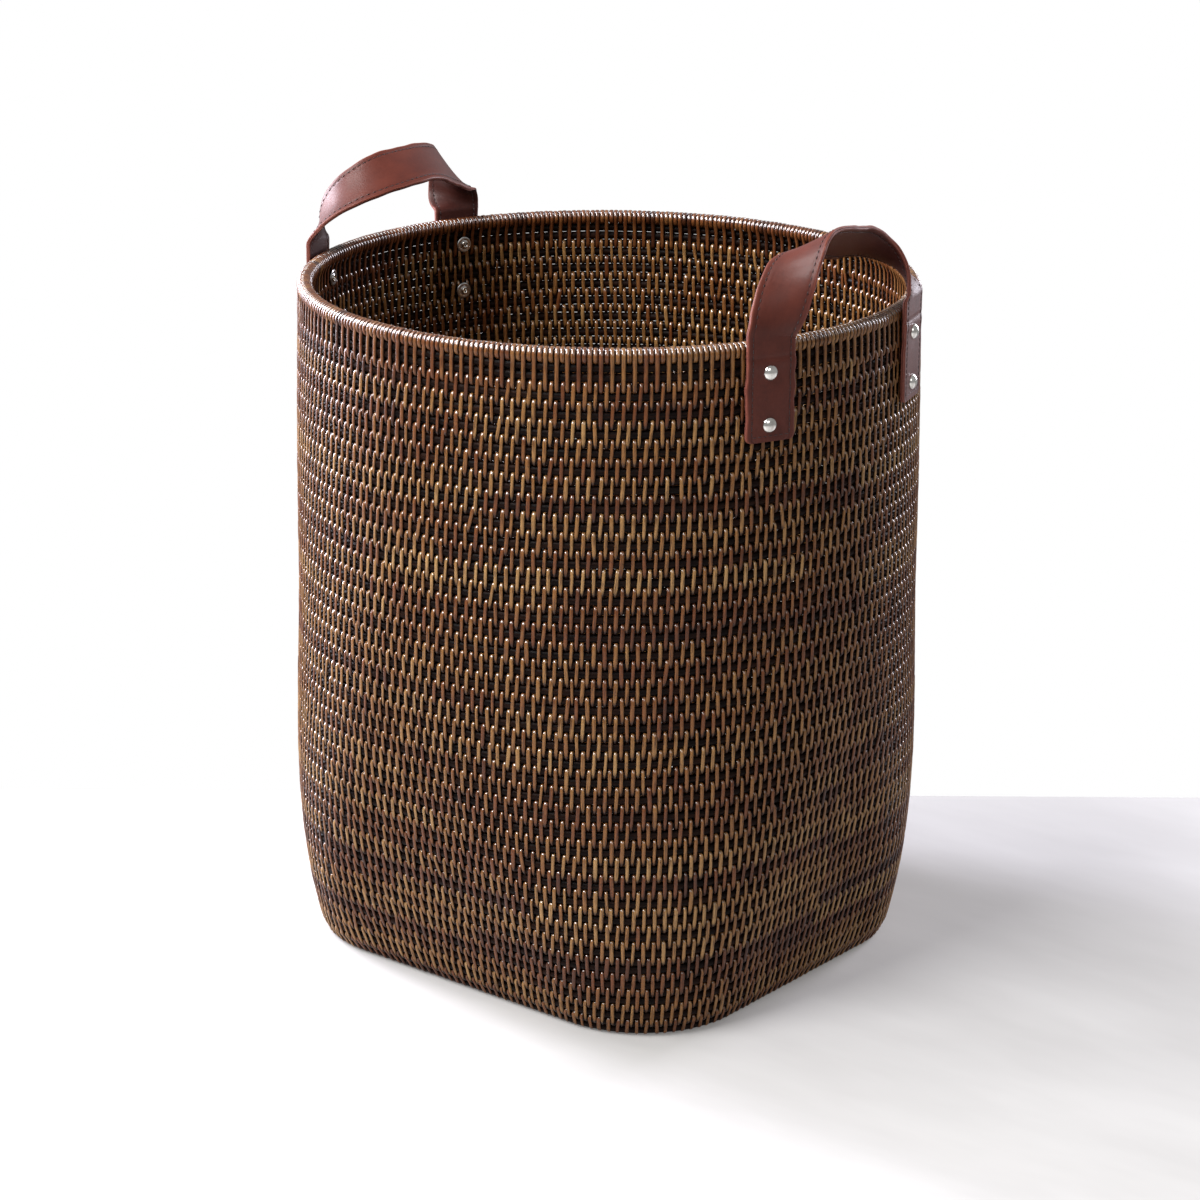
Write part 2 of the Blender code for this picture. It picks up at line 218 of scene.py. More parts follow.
@dataclass
class Tree:
    """A material's node tree, with short ways to add to it."""

    material: Material
    shader: bpy.types.Node = field(init=False)

    def __post_init__(self) -> None:
        """Turns nodes on and keeps the Principled shader."""
        self.material.use_nodes = True
        self.shader = self.material.node_tree.nodes["Principled BSDF"]

    def node(self, kind: str, inputs: dict | None = None, **settings: object) -> bpy.types.Node:
        """Adds a node.

        Args:
            kind: The node's type.
            inputs: Values or sockets, by input name or number.
            settings: Attributes of the node.

        Returns:
            The new node.
        """
        made = self.material.node_tree.nodes.new(kind)
        for key, value in settings.items():
            setattr(made, key, value)
        for key, value in (inputs or {}).items():
            self.put(made.inputs[key], value)
        return made

    def put(self, socket: Socket, value: object) -> None:
        """Sets or links a socket."""
        if isinstance(value, Socket):
            self.material.node_tree.links.new(value, socket)
        else:
            socket.default_value = value

    def math(self, operation: str, first: object, second: object = 0.0, clamp: bool = False) -> Socket:
        """Adds a Math node and returns its output."""
        made = self.node("ShaderNodeMath", {0: first, 1: second}, operation=operation, use_clamp=clamp)
        return made.outputs[0]

    def attribute(self, name: str, output: str = "Fac") -> Socket:
        """Reads a mesh attribute."""
        return self.node("ShaderNodeAttribute", attribute_name=name).outputs[output]

    def scaled(self, vector: Socket, scale: Triple) -> Socket:
        """Multiplies a vector by a scale."""
        made = self.node("ShaderNodeVectorMath", {0: vector, 1: scale}, operation="MULTIPLY")
        return made.outputs[0]

    def noise(self, vector: Socket, scale: Triple, detail: float, roughness: float) -> Socket:
        """Adds fractal noise, with a scale for each direction, and returns its value."""
        inputs = {"Vector": self.scaled(vector, scale), "Scale": 1.0}
        inputs |= {"Detail": detail, "Roughness": roughness}
        return self.node("ShaderNodeTexNoise", inputs).outputs["Fac"]

    def ramp(self, value: Socket, stops: list[tuple[float, tuple[float, ...]]]) -> Socket:
        """Adds a colour ramp and returns its colour."""
        made = self.node("ShaderNodeValToRGB", {"Fac": value})
        elements = made.color_ramp.elements
        while len(elements) < len(stops):
            elements.new(0.5)
        for element, (place, color) in zip(elements, stops):
            element.position = place
            element.color = (*color, 1.0)
        return made.outputs["Color"]

    def mix(self, share: object, first: object, second: object) -> Socket:
        """Mixes two colours and returns the result."""
        made = self.node("ShaderNodeMix", data_type="RGBA")
        self.put(made.inputs["Factor"], share)
        self.put(made.inputs["A"], first)
        self.put(made.inputs["B"], second)
        return made.outputs["Result"]

    def span(self, value: object, low: float, high: float, start: float = 0.0, end: float = 1.0) -> Socket:
        """Maps start..end, clamped, to low..high."""
        inputs = {"Value": value, "From Min": start, "From Max": end, "To Min": low, "To Max": high}
        return self.node("ShaderNodeMapRange", inputs).outputs["Result"]

    def bump(self, height: Socket, strength: float, distance: float) -> None:
        """Gives the shader a bump."""
        inputs = {"Height": height, "Strength": strength, "Distance": distance}
        made = self.node("ShaderNodeBump", inputs)
        self.put(self.shader.inputs["Normal"], made.outputs["Normal"])

    def finish(self, **values: object) -> Material:
        """Sets shader inputs, with _ for a space, and returns the material."""
        for name, value in values.items():
            self.put(self.shader.inputs[name.replace("_", " ")], value)
        return self.material


def new_tree(name: str) -> Tree:
    """An empty material's tree."""
    return Tree(bpy.data.materials.new(name))


# ---- Finishes ----


@dataclass(frozen=True)
class CaneFinish:
    """Split cane under brown lacquer: straw to chestnut by strip, with fine grain along each strand, and
    painted shade at its edges and where it tucks under rods.
    """

    name: str = "lacquered_cane"
    # near-black: painted shade where the cane tucks under rods and along strand edges, and also the colour
    # of the dark specks
    stain_and_shade: Triple = (0.017, 0.0058, 0.0035)
    dark: Triple = (0.050, 0.015, 0.006)
    red: Triple = (0.165, 0.050, 0.014)
    honey: Triple = (0.270, 0.122, 0.036)
    straw: Triple = (0.400, 0.225, 0.085)
    gloss: float = 0.42
    lacquer: float = 1.0
    thin_lacquer: float = 0.13

    def material(self) -> Material:
        """The finish as a node material."""
        tree = new_tree(self.name)
        lay = tree.attribute("lay", "Vector")
        tone = tree.attribute("tone")
        shade = tree.attribute("shade")
        grain = tree.noise(lay, (2600.0, 60.0, 9.0), 4.0, 0.6)
        blotch = tree.noise(lay, (300.0, 130.0, 17.0), 3.0, 0.55)
        mixed = tree.math("ADD", tone, tree.span(grain, -0.17, 0.17))
        mixed = tree.math("ADD", mixed, tree.span(blotch, -0.20, 0.20))
        stops = [(0.02, self.dark), (0.34, self.red), (0.66, self.honey), (1.0, self.straw)]
        color = tree.ramp(mixed, stops)
        streak = tree.noise(lay, (1500.0, 90.0, 53.0), 2.0, 0.5)
        streak = tree.span(streak, 0.0, 1.0, 0.50, 0.66)
        color = tree.mix(tree.math("MULTIPLY", streak, 0.75), color, (*self.dark, 1.0))
        # painted shade: each strand darkens towards its two edges, standing in for the shade in the gaps
        # between strands
        side = tree.math("ABSOLUTE", tree.node("ShaderNodeSeparateXYZ", {0: lay}).outputs["X"])
        side = tree.span(side, 0.0, 0.8, 0.0009, 0.00155)
        # painted shade where the strand tucks under a rod, read from the shade attribute, joined with the
        # edge shade and mixed in as the near-black colour
        stain_and_shade = tree.math("MULTIPLY", shade, tree.span(blotch, 0.75, 1.25), clamp=True)
        stain_and_shade = tree.math("MAXIMUM", stain_and_shade, side)
        color = tree.mix(stain_and_shade, color, (*self.stain_and_shade, 1.0))
        speck = tree.noise(lay, (900.0, 500.0, 31.0), 2.0, 0.5)
        speck = tree.math("GREATER_THAN", speck, 0.68)
        color = tree.mix(tree.math("MULTIPLY", speck, 0.6), color, (*self.stain_and_shade, 1.0))
        tree.bump(grain, 0.28, 0.0003)
        facing = tree.node("ShaderNodeNewGeometry").outputs["Normal"]
        upward = tree.node("ShaderNodeSeparateXYZ", {0: facing}).outputs["Z"]
        coat = tree.span(upward, self.thin_lacquer, self.lacquer, 0.20, 0.50)
        return tree.finish(
            Base_Color=color,
            Roughness=tree.span(blotch, self.gloss - 0.08, self.gloss + 0.14),
            Specular_IOR_Level=0.16,
            Coat_Weight=coat,
            Coat_Roughness=0.11,
            Coat_IOR=2.0,
        )


@dataclass(frozen=True)
class RodFinish:
    """Peeled rattan rods, stained almost black."""

    name: str = "stained_rod"
    deep: Triple = (0.0032, 0.0016, 0.0014)
    worn: Triple = (0.034, 0.012, 0.006)

    def material(self) -> Material:
        """The finish as a node material."""
        tree = new_tree(self.name)
        lay = tree.attribute("lay", "Vector")
        streak = tree.noise(lay, (60.0, 2200.0, 5.0), 4.0, 0.6)
        patch = tree.noise(lay, (45.0, 200.0, 3.0), 3.0, 0.6)
        both = tree.math("MULTIPLY", streak, patch)
        color = tree.ramp(both, [(0.20, self.deep), (0.52, self.worn)])
        tree.bump(streak, 0.35, 0.0004)
        return tree.finish(
            Base_Color=color,
            Roughness=tree.span(patch, 0.32, 0.60),
            Specular_IOR_Level=0.07,
        )


@dataclass(frozen=True)
class LeatherFinish:
    """Waxed leather with creases, pores, rubbed edges and a pressed seam line."""

    name: str
    deep: Triple
    warm: Triple
    rubbed: Triple
    pore_depth: float = 0.35
    gloss: float = 0.40
    half_width: float = 0.0185
    seam: float = 0.0145

    def material(self) -> Material:
        """The finish as a node material."""
        tree = new_tree(self.name)
        lay = tree.attribute("lay", "Vector")
        parts = tree.node("ShaderNodeSeparateXYZ", {0: lay})
        across = tree.math("ABSOLUTE", parts.outputs["X"])
        cloud = tree.noise(lay, (55.0, 30.0, 1.0), 4.0, 0.6)
        fine = tree.noise(lay, (700.0, 420.0, 1.0), 5.0, 0.65)
        pores = tree.node(
            "ShaderNodeTexVoronoi", {"Vector": tree.scaled(lay, (1500.0, 1300.0, 1.0)), "Scale": 1.0},
            feature="DISTANCE_TO_EDGE",
        ).outputs["Distance"]
        crease = tree.noise(lay, (40.0, 520.0, 1.0), 3.0, 0.7)
        color = tree.mix(tree.span(cloud, -0.15, 1.15), (*self.deep, 1.0), (*self.warm, 1.0))
        color = tree.mix(tree.span(fine, -0.25, 0.55), color, (*self.warm, 1.0))
        edge = tree.span(across, 0.0, 1.0, self.half_width - 0.0016, self.half_width - 0.0001)
        color = tree.mix(tree.math("MULTIPLY", edge, 0.75), color, (*self.rubbed, 1.0))
        off_seam = tree.math("ABSOLUTE", tree.math("SUBTRACT", across, self.seam))
        groove = tree.span(off_seam, 1.0, 0.0, 0.0002, 0.0009)
        color = tree.mix(tree.math("MULTIPLY", groove, 0.45), color, (*self.deep, 1.0))
        pitted = tree.math("MULTIPLY", pores, self.pore_depth)
        height = tree.math("ADD", pitted, tree.math("MULTIPLY", fine, 0.5))
        height = tree.math("ADD", height, tree.math("MULTIPLY", crease, 0.55))
        tree.bump(height, 0.30, 0.0005)
        return tree.finish(
            Base_Color=color,
            Roughness=tree.span(fine, self.gloss - 0.06, self.gloss + 0.20),
            Specular_IOR_Level=0.24,
            Coat_Weight=0.07,
            Coat_Roughness=0.22,
        )


@dataclass(frozen=True)
class EdgeFinish:
    """The raw cut edge of the straps."""

    name: str = "cut_leather_edge"
    pale: Triple = (0.300, 0.085, 0.055)
    dark: Triple = (0.120, 0.030, 0.022)

    def material(self) -> Material:
        """The finish as a node material."""
        tree = new_tree(self.name)
        lay = tree.attribute("lay", "Vector")
        fibre = tree.noise(lay, (1800.0, 700.0, 2500.0), 4.0, 0.65)
        color = tree.ramp(fibre, [(0.30, self.dark), (0.66, self.pale)])
        tree.bump(fibre, 0.5, 0.0005)
        return tree.finish(Base_Color=color, Roughness=tree.span(fibre, 0.55, 0.8))


@dataclass(frozen=True)
class ThreadFinish:
    """Waxed sewing thread."""

    name: str = "waxed_thread"
    dark: Triple = (0.018, 0.008, 0.008)
    light: Triple = (0.060, 0.022, 0.018)

    def material(self) -> Material:
        """The finish as a node material."""
        tree = new_tree(self.name)
        lay = tree.attribute("lay", "Vector")
        ply = tree.node(
            "ShaderNodeTexWave",
            {"Vector": tree.scaled(lay, (900.0, 900.0, 1.0)), "Scale": 1.0, "Distortion": 0.6},
            bands_direction="DIAGONAL",
        ).outputs["Fac"]
        tree.bump(ply, 0.5, 0.0002)
        return tree.finish(Base_Color=tree.ramp(ply, [(0.2, self.dark), (0.8, self.light)]), Roughness=0.5)


@dataclass(frozen=True)
class NickelFinish:
    """Nickel plate on rivets and washers, with light scratches and patches of tarnish."""

    name: str
    clean: Triple
    dull: Triple
    gloss: float

    def material(self) -> Material:
        """The finish as a node material."""
        tree = new_tree(self.name)
        place = tree.node("ShaderNodeTexCoord").outputs["Object"]
        haze = tree.noise(place, (240.0, 240.0, 240.0), 4.0, 0.6)
        scratch = tree.noise(place, (2600.0, 500.0, 900.0), 3.0, 0.7)
        color = tree.ramp(haze, [(0.30, self.dull), (0.62, self.clean)])
        tree.bump(scratch, 0.08, 0.0002)
        rough = tree.span(haze, self.gloss + 0.08, self.gloss - 0.04)
        rough = tree.math("ADD", rough, tree.span(scratch, -0.03, 0.05))
        return tree.finish(Base_Color=color, Roughness=rough, Metallic=1.0)


@dataclass(frozen=True)
class FloorFinish:
    """A plain pale painted floor."""

    name: str = "pale_floor"
    pale: Triple = (0.56, 0.55, 0.54)
    shaded: Triple = (0.48, 0.47, 0.46)
    glow: float = 0.30

    def material(self) -> Material:
        """The finish as a node material."""
        tree = new_tree(self.name)
        place = tree.node("ShaderNodeTexCoord").outputs["Object"]
        cloud = tree.noise(place, (3.0, 9.0, 1.0), 4.0, 0.55)
        color = tree.ramp(cloud, [(0.30, self.shaded), (0.70, self.pale)])
        return tree.finish(
            Base_Color=color, Roughness=0.62, Emission_Color=color, Emission_Strength=self.glow
        )


# ---- Shape of the body ----


@dataclass(frozen=True)
class Line:
    """A closed horizontal line round the basket, read by its share of the way round."""

    shares: Array
    points: Array
    tangents: Array
    length: float

    def at(self, share: Array) -> tuple[Array, Array, Array]:
        """Reads the line.

        Args:
            share: Places round the line, where 1 is once round.

        Returns:
            Points, directions along the line, and directions out of the basket.
        """
        wrapped = np.mod(share, 1.0)
        point = np.stack([np.interp(wrapped, self.shares, self.points[:, i]) for i in range(3)], axis=-1)
        run = [np.interp(wrapped, self.shares, self.tangents[:, i]) for i in range(3)]
        along = unit(np.stack(run, axis=-1))
        out = np.stack([along[..., 1], -along[..., 0], np.zeros_like(along[..., 0])], axis=-1)
        return point, along, out


@dataclass
class BasketForm:
    """The body's outline: a rounded square at the floor that turns into a circle at the belly."""

    height: float = 0.500
    rim_radius: float = 0.222
    belly_radius: float = 0.2255
    belly_height: float = 0.300
    base_half_depth: float = 0.181
    base_half_width: float = 0.164
    base_corner: float = 0.080
    side_swell: float = 1.95
    least_corner: float = 0.005
    stray: float = 0.00034
    samples: int = 1440
    lines: dict = field(default_factory=dict)

    def wall_radius(self, height: float) -> float:
        """Outside radius where the wall is round."""
        rise = (height - self.belly_height) / (self.height - self.belly_height)
        if rise <= 0:
            return self.belly_radius
        return self.belly_radius - (self.belly_radius - self.rim_radius) * rise * rise

    def wander(self, angle: Array, height: float) -> Array:
        """How far hand-laid rows stray from level, away from the rim and the foot."""
        free = min(1.0, max(0.0, (height - 0.018) / 0.050)) * min(1.0, max(0.0, (0.470 - height) / 0.050))
        slow = np.sin(5 * angle + 17 * height) + 0.6 * np.sin(11 * angle - 23 * height + 1.3)
        return self.stray * free * (slow + 0.35 * np.sin(29 * angle + 41 * height))

    def line(self, height: float, inset: float) -> Line:
        """The outline at a height, moved in.

        Args:
            height: Height above the floor.
            inset: Distance inside the wall's outer face.

        Returns:
            The line.
        """
        key = (round(height, 6), round(inset, 6))
        if key not in self.lines:
            self.lines[key] = self.trace(height, inset)
        return self.lines[key]

    def trace(self, height: float, inset: float) -> Line:
        """Works out one line; see line()."""
        share = min(1.0, max(0.0, height / self.belly_height))
        swell = 1 - (1 - share) ** self.side_swell
        roundness = share + share**2 - share**3
        radius = self.wall_radius(height)
        deep = self.base_half_depth + (radius - self.base_half_depth) * swell - inset
        wide = self.base_half_width + (radius - self.base_half_width) * swell - inset
        corner = self.base_corner + (radius - self.base_corner) * roundness - inset
        corner = min(max(corner, self.least_corner), deep, wide)
        angle = np.linspace(0, 2 * math.pi, self.samples + 1)
        run_x, run_y = np.abs(np.cos(angle)), np.abs(np.sin(angle))
        flat_x, flat_y = deep - corner, wide - corner
        middle = flat_x * run_x + flat_y * run_y
        arc = middle + np.sqrt(np.maximum(0.0, middle**2 - flat_x**2 - flat_y**2 + corner**2))
        reach = np.where(run_x * wide <= flat_x * run_y, wide / np.maximum(run_y, 1e-9), arc)
        reach = np.where(run_y * deep <= flat_y * run_x, deep / np.maximum(run_x, 1e-9), reach)
        level = height + self.wander(angle, height)
        points = np.stack([reach * np.cos(angle), reach * np.sin(angle), level], axis=1)
        steps = np.linalg.norm(np.diff(points, axis=0), axis=1)
        lengths = np.concatenate([[0.0], np.cumsum(steps)])
        ahead = np.concatenate([points[1:], points[1:2]])
        behind = np.concatenate([points[-2:-1], points[:-1]])
        return Line(lengths / lengths[-1], points, unit(ahead - behind), lengths[-1])


# ---- Coiled weave ----


@dataclass
class CaneTones:
    """Colours of the cane: each strip lasts some stitches, then the next one starts in another shade."""

    seed: int
    shortest: int = 16
    longest: int = 60
    spread: float = 0.20
    middle: float = 0.56
    flicker: float = 0.08

    def of(self, count: int) -> Array:
        """A tone for each stitch of one course.

        Args:
            count: Number of stitches.

        Returns:
            Tones, about 0 for dark to 1 for straw.
        """
        random = np.random.default_rng(self.seed)
        tones = np.empty(count)
        start = 0
        while start < count:
            run = int(random.integers(self.shortest, self.longest))
            tones[start:start + run] = np.clip(random.normal(self.middle, self.spread), 0.12, 0.95)
            start += run
        odd = random.random(count) < 0.05
        tones = tones + random.normal(0, self.flicker, count)
        return np.clip(np.where(odd, tones - 0.22, tones), 0.05, 1.0)


@dataclass
class Strands:
    """Cane strands gathered into one mesh."""

    section_width: float = 0.0030
    section_height: float = 0.0010
    points: list = field(default_factory=list)
    faces: list = field(default_factory=list)
    lays: list = field(default_factory=list)
    tones: list = field(default_factory=list)
    shades: list = field(default_factory=list)
    count: int = 0

    def section(self) -> Array:
        """A split strand's section: flat behind, domed in front."""
        half, thick = self.section_width / 2, self.section_height
        return np.array([
            (-half, -0.40 * thick), (-0.82 * half, 0.22 * thick), (-0.34 * half, 0.48 * thick),
            (0.34 * half, 0.48 * thick), (0.82 * half, 0.22 * thick), (half, -0.40 * thick),
        ])

    def add(
        self,
        centres: Array,
        across: Array,
        outwards: Array,
        widths: Array,
        tones: Array,
        shades: Array,
        seed: int,
    ) -> None:
        """Adds closed loops of cane.

        Args:
            centres: Middle of each strand, (strands, stations, 3).
            across: Width direction at each station.
            outwards: Thickness direction at each station.
            widths: Width of each strand at each station, as a share of the section's.
            tones: Colour of each strand.
            shades: Painted shade at each station, 0 to 1, dark where the cane tucks under a rod.
            seed: Start of the grain's place in its pattern.
        """
        strands, stations = centres.shape[:2]
        shape = self.section()
        sides = len(shape)
        scaled = shape[None, None] * np.stack([widths, np.ones_like(widths)], axis=-1)[:, :, None]
        made = sweep(centres, across, outwards, scaled)
        steps = np.linalg.norm(np.roll(centres, -1, axis=1) - centres, axis=2)
        along = np.cumsum(steps, axis=1) - steps
        grain = np.empty((strands, stations, sides, 3))
        grain[..., 0] = shape[None, None, :, 0]
        grain[..., 1] = along[:, :, None]
        grain[..., 2] = (np.arange(strands) * 0.731 + seed * 7.13)[:, None, None]
        start = self.count
        self.faces.append(many(tube_faces(stations, sides, True), strands, stations * sides) + start)
        self.points.append(made.reshape(-1, 3))
        self.lays.append(grain.reshape(-1, 3))
        self.tones.append(np.repeat(tones, stations * sides))
        self.shades.append(np.repeat(shades.reshape(-1), sides))
        self.count += strands * stations * sides

    def sew(
        self,
        form: "BasketForm",
        stops: list["Stop"],
        shares: Array,
        hand: "Hand",
        tones: Array,
        number: int,
    ) -> None:
        """Adds one course of cane loops.

        Args:
            form: The body.
            stops: Stations of a loop.
            shares: Where each loop stands, as a share of the way round.
            hand: How evenly they are sewn.
            tones: Colour of each loop.
            number: Start of the grain's place in its pattern.
        """
        random = np.random.default_rng(hand.swell_seed)
        middle, across, outwards = loop_strands(form, stops, shares, hand.jitter, hand.path_seed)
        swell = 1 + random.normal(0, hand.swell, len(shares))
        widths = swell[:, None] * np.array([stop.width for stop in stops])[None]
        middle = middle + outwards * random.normal(0, hand.lift, len(shares))[:, None, None]
        # painted shade of each station, for the shade attribute
        stain_and_shade = np.broadcast_to(np.array([stop.stain_and_shade for stop in stops]), widths.shape)
        self.add(middle, across, outwards, widths, tones, stain_and_shade, number)

    def build(self, name: str, material: Material) -> Piece:
        """Makes the mesh of all strands.

        Args:
            name: The piece's name.
            material: Its cane.

        Returns:
            The object.
        """
        points = np.concatenate(self.points)
        faces = facing_out(points, np.concatenate(self.faces))
        layers = {
            "lay": np.concatenate(self.lays),
            "tone": np.concatenate(self.tones),
            "shade": np.concatenate(self.shades),
        }
        return add_mesh(name, points, faces, [material], layers)


@dataclass(frozen=True)
class Stop:
    """One station of a cane loop: a line round the basket, and an offset from it.

    inset and height choose the line, out is the distance outwards from it, and shift moves the
    station along the course. width is a share of the strand's own width, and the last field is
    the station's painted shade, 0 to 1, dark where the cane tucks under a rod.
    """

    inset: float
    height: float
    out: float = 0.0
    shift: float = 0.0
    width: float = 1.0
    # painted shade of the station, 0 to 1
    stain_and_shade: float = 0.0


@dataclass(frozen=True)
class Hand:
    """How evenly a course is sewn: stray along it, change of width, lift, and where the chance starts."""

    jitter: float
    swell: float
    lift: float
    path_seed: int
    swell_seed: int


def loop_strands(
    form: BasketForm, stops: list[Stop], shares: Array, jitter: float, seed: int
) -> tuple[Array, Array, Array]:
    """Lays closed loops of cane through their stops.

    Args:
        form: The body.
        stops: Stations, in order round the loop.
        shares: Where each loop stands on its course, as a share of the way round.
        jitter: How far a loop strays along the course at random.
        seed: Start of the random numbers.

    Returns:
        Middles, width directions and outward directions, each (strands, stations, 3).
    """
    random = np.random.default_rng(seed)
    crooked = np.where(random.random(len(shares)) < 0.035, 3.2, 1.0)[:, None]
    stray = random.normal(0, jitter, (len(shares), 2)) * crooked
    centres, alongs = [], []
    heights = np.array([stop.height for stop in stops])
    spread = (heights - heights.min()) / max(float(np.ptp(heights)), 1e-9)
    for stop, up_share in zip(stops, spread):
        line = form.line(stop.height, stop.inset)
        moved = shares + (stop.shift + stray[:, 0] * up_share + stray[:, 1] * (1 - up_share)) / line.length
        point, along, out = line.at(moved)
        centres.append(point + out * stop.out)
        alongs.append(along)
    middle = np.stack(centres, axis=1)
    along = np.stack(alongs, axis=1)
    path = unit(np.roll(middle, -1, axis=1) - np.roll(middle, 1, axis=1))
    across = unit(along - np.einsum("ijk,ijk->ij", along, path)[..., None] * path)
    outwards = np.cross(across, path)
    core = middle.mean(axis=1, keepdims=True)
    facing = np.einsum("ijk,ijk->ij", outwards, middle - core).sum(axis=1)
    return middle, across, outwards * np.sign(facing)[:, None, None]


def rods_mesh(
    name: str,
    form: BasketForm,
    places: list[Triple],
    material: Material,
    around: int = 288,
    sides: int = 8,
) -> Piece:
    """Builds rods that run once round the basket.

    Args:
        name: The piece's name.
        form: The body.
        places: Height, inset and radius of each rod.
        material: Its finish.
        around: Sections round each rod.
        sides: Points in a section.

    Returns:
        The object.
    """
    points, lays = [], []
    turn = np.linspace(0, 2 * math.pi, sides, endpoint=False)
    for number, (height, inset, radius) in enumerate(places):
        share = np.linspace(0, 1, around, endpoint=False)
        line = form.line(height, inset)
        middle, _, out = line.at(share)
        wave = 1 + 0.03 * np.sin(share * 2 * math.pi * 31 + number * GOLDEN_ANGLE)
        ring = (
            middle[:, None]
            + out[:, None] * (np.cos(turn) * radius)[None, :, None] * wave[:, None, None]
            + UP * (np.sin(turn) * radius)[None, :, None] * wave[:, None, None]
        )
        lay = np.empty((around, sides, 3))
        lay[..., 0] = (share * line.length)[:, None]
        lay[..., 1] = np.abs(turn - math.pi)[None] * radius
        lay[..., 2] = number * 3.7
        points.append(ring.reshape(-1, 3))
        lays.append(lay.reshape(-1, 3))
    stacked = np.concatenate(points)
    faces = many(tube_faces(around, sides, True), len(places), around * sides)
    return add_mesh(name, stacked, facing_out(stacked, faces), [material], {"lay": np.concatenate(lays)})


@dataclass
class Coil:
    """The coiled wall: courses of two stained rods, each sewn to the course below with cane."""

    form: BasketForm
    rod_radius: float = 0.0031
    rod_inset: float = 0.0040
    cane: float = 0.0009
    stitch_width: float = 0.0028
    stitches: int = 188
    courses: int = 37
    top_rod: float = 0.4734
    low_rod: float = 0.0038
    jitter: float = 0.00040
    lean: float = 0.00045
    swell: float = 0.09
    lift: float = 0.00008
    courses_a_piece: int = 3

    @property
    def pitch(self) -> float:
        """Height of one course, two rods."""
        return (self.top_rod - self.low_rod) / (self.courses - 0.5)

    @property
    def reach(self) -> float:
        """Middle of the rod to middle of the cane round it."""
        return self.rod_radius + self.cane / 2

    def upper_rod(self, course: int) -> float:
        """Height of a course's upper rod; course 0 is the top one."""
        return self.top_rod - self.pitch * course

    def foot_inset(self, height: float) -> float:
        """How far the rods move in where the wall rounds under to the floor."""
        drop = max(0.0, 0.0085 - height)
        return self.rod_inset + drop * 0.33

    def stops(self, course: int) -> list[Stop]:
        """Stations of a wall stitch, from the outside of its upper rod down, round and up the inside."""
        top = self.upper_rod(course)
        step = self.pitch / 2
        reach, inset = self.reach, self.rod_inset
        made = []

        def arc(centre: float, degrees: list[int], stain_and_shade: float, width: float, sunk: float = 1.0) -> None:
            """Adds stations round a rod, by their angle above outwards."""
            for degree in degrees:
                turn = math.radians(degree)
                made.append(Stop(
                    inset, centre + reach * math.sin(turn), reach * sunk * math.cos(turn),
                    self.lean * (0.5 if centre == top else -0.5), width, stain_and_shade,
                ))

        # painted shade, the third number of each arc: dark at the top of the head, which tucks under the
        # rod above, and on the tail, which goes under the course below
        arc(top, [90], 0.9, 0.90)
        arc(top, [66], 0.30, 0.95)
        arc(top, [50, 34, 8], 0.0, 1.0)
        for share, bulge in ((0.5, 0.985), (1.0, 1.0), (1.5, 0.985)):
            shift = self.lean * (0.5 - share / 2)
            made.append(Stop(inset, top - step * share, reach * bulge, shift, 1.0, 0.0))
        arc(top - 2 * step, [16], 0.25, 0.86)
        arc(top - 2 * step, [-14], 0.85, 0.66, 0.975)
        arc(top - 2 * step, [-50, -90], 1.0, 0.78, 0.90)
        outside = list(made)
        for stop in reversed(outside[1:-1]):
            made.append(Stop(stop.inset, stop.height, -stop.out, stop.shift, stop.width, stop.stain_and_shade))
        return made

    def build(self, cane: Material, rod: Material) -> list[Piece]:
        """Builds and dresses the wall above the lowest course.

        Args:
            cane: Finish of the stitches.
            rod: Finish of the rods.

        Returns:
            The pieces.
        """
        pieces = []
        for first in range(0, self.courses - 1, self.courses_a_piece):
            courses = range(first, min(first + self.courses_a_piece, self.courses - 1))
            strands = Strands(self.stitch_width, self.cane)
            for course in courses:
                self.sew(strands, course, self.stops(course))
            pieces.append(strands.build(f"wall_stitches_{first // self.courses_a_piece + 1:02d}", cane))
        places = [(self.upper_rod(0) + self.pitch / 2, self.rod_inset, self.rod_radius)]
        places.append((self.upper_rod(0) + self.pitch, self.rod_inset, self.rod_radius))
        for course in range(self.courses - 1):
            for height in (self.upper_rod(course), self.upper_rod(course) - self.pitch / 2):
                places.append((height, self.foot_inset(height), self.rod_radius))
        half = len(places) // 2
        pieces.append(rods_mesh("wall_rods_upper", self.form, places[:half], rod))
        pieces.append(rods_mesh("wall_rods_lower", self.form, places[half:], rod))
        return pieces

    def sew(self, strands: Strands, course: int, stops: list[Stop]) -> None:
        """Adds one course of stitches.

        Args:
            strands: Where they go.
            course: Number of the course, from the top.
            stops: Stations of a stitch.
        """
        shares = (np.arange(self.stitches) + 0.5 * (course % 2)) / self.stitches
        hand = Hand(self.jitter, self.swell, self.lift, 900 + course, 400 + course)
        strands.sew(self.form, stops, shares, hand, CaneTones(70 + course).of(self.stitches), course)


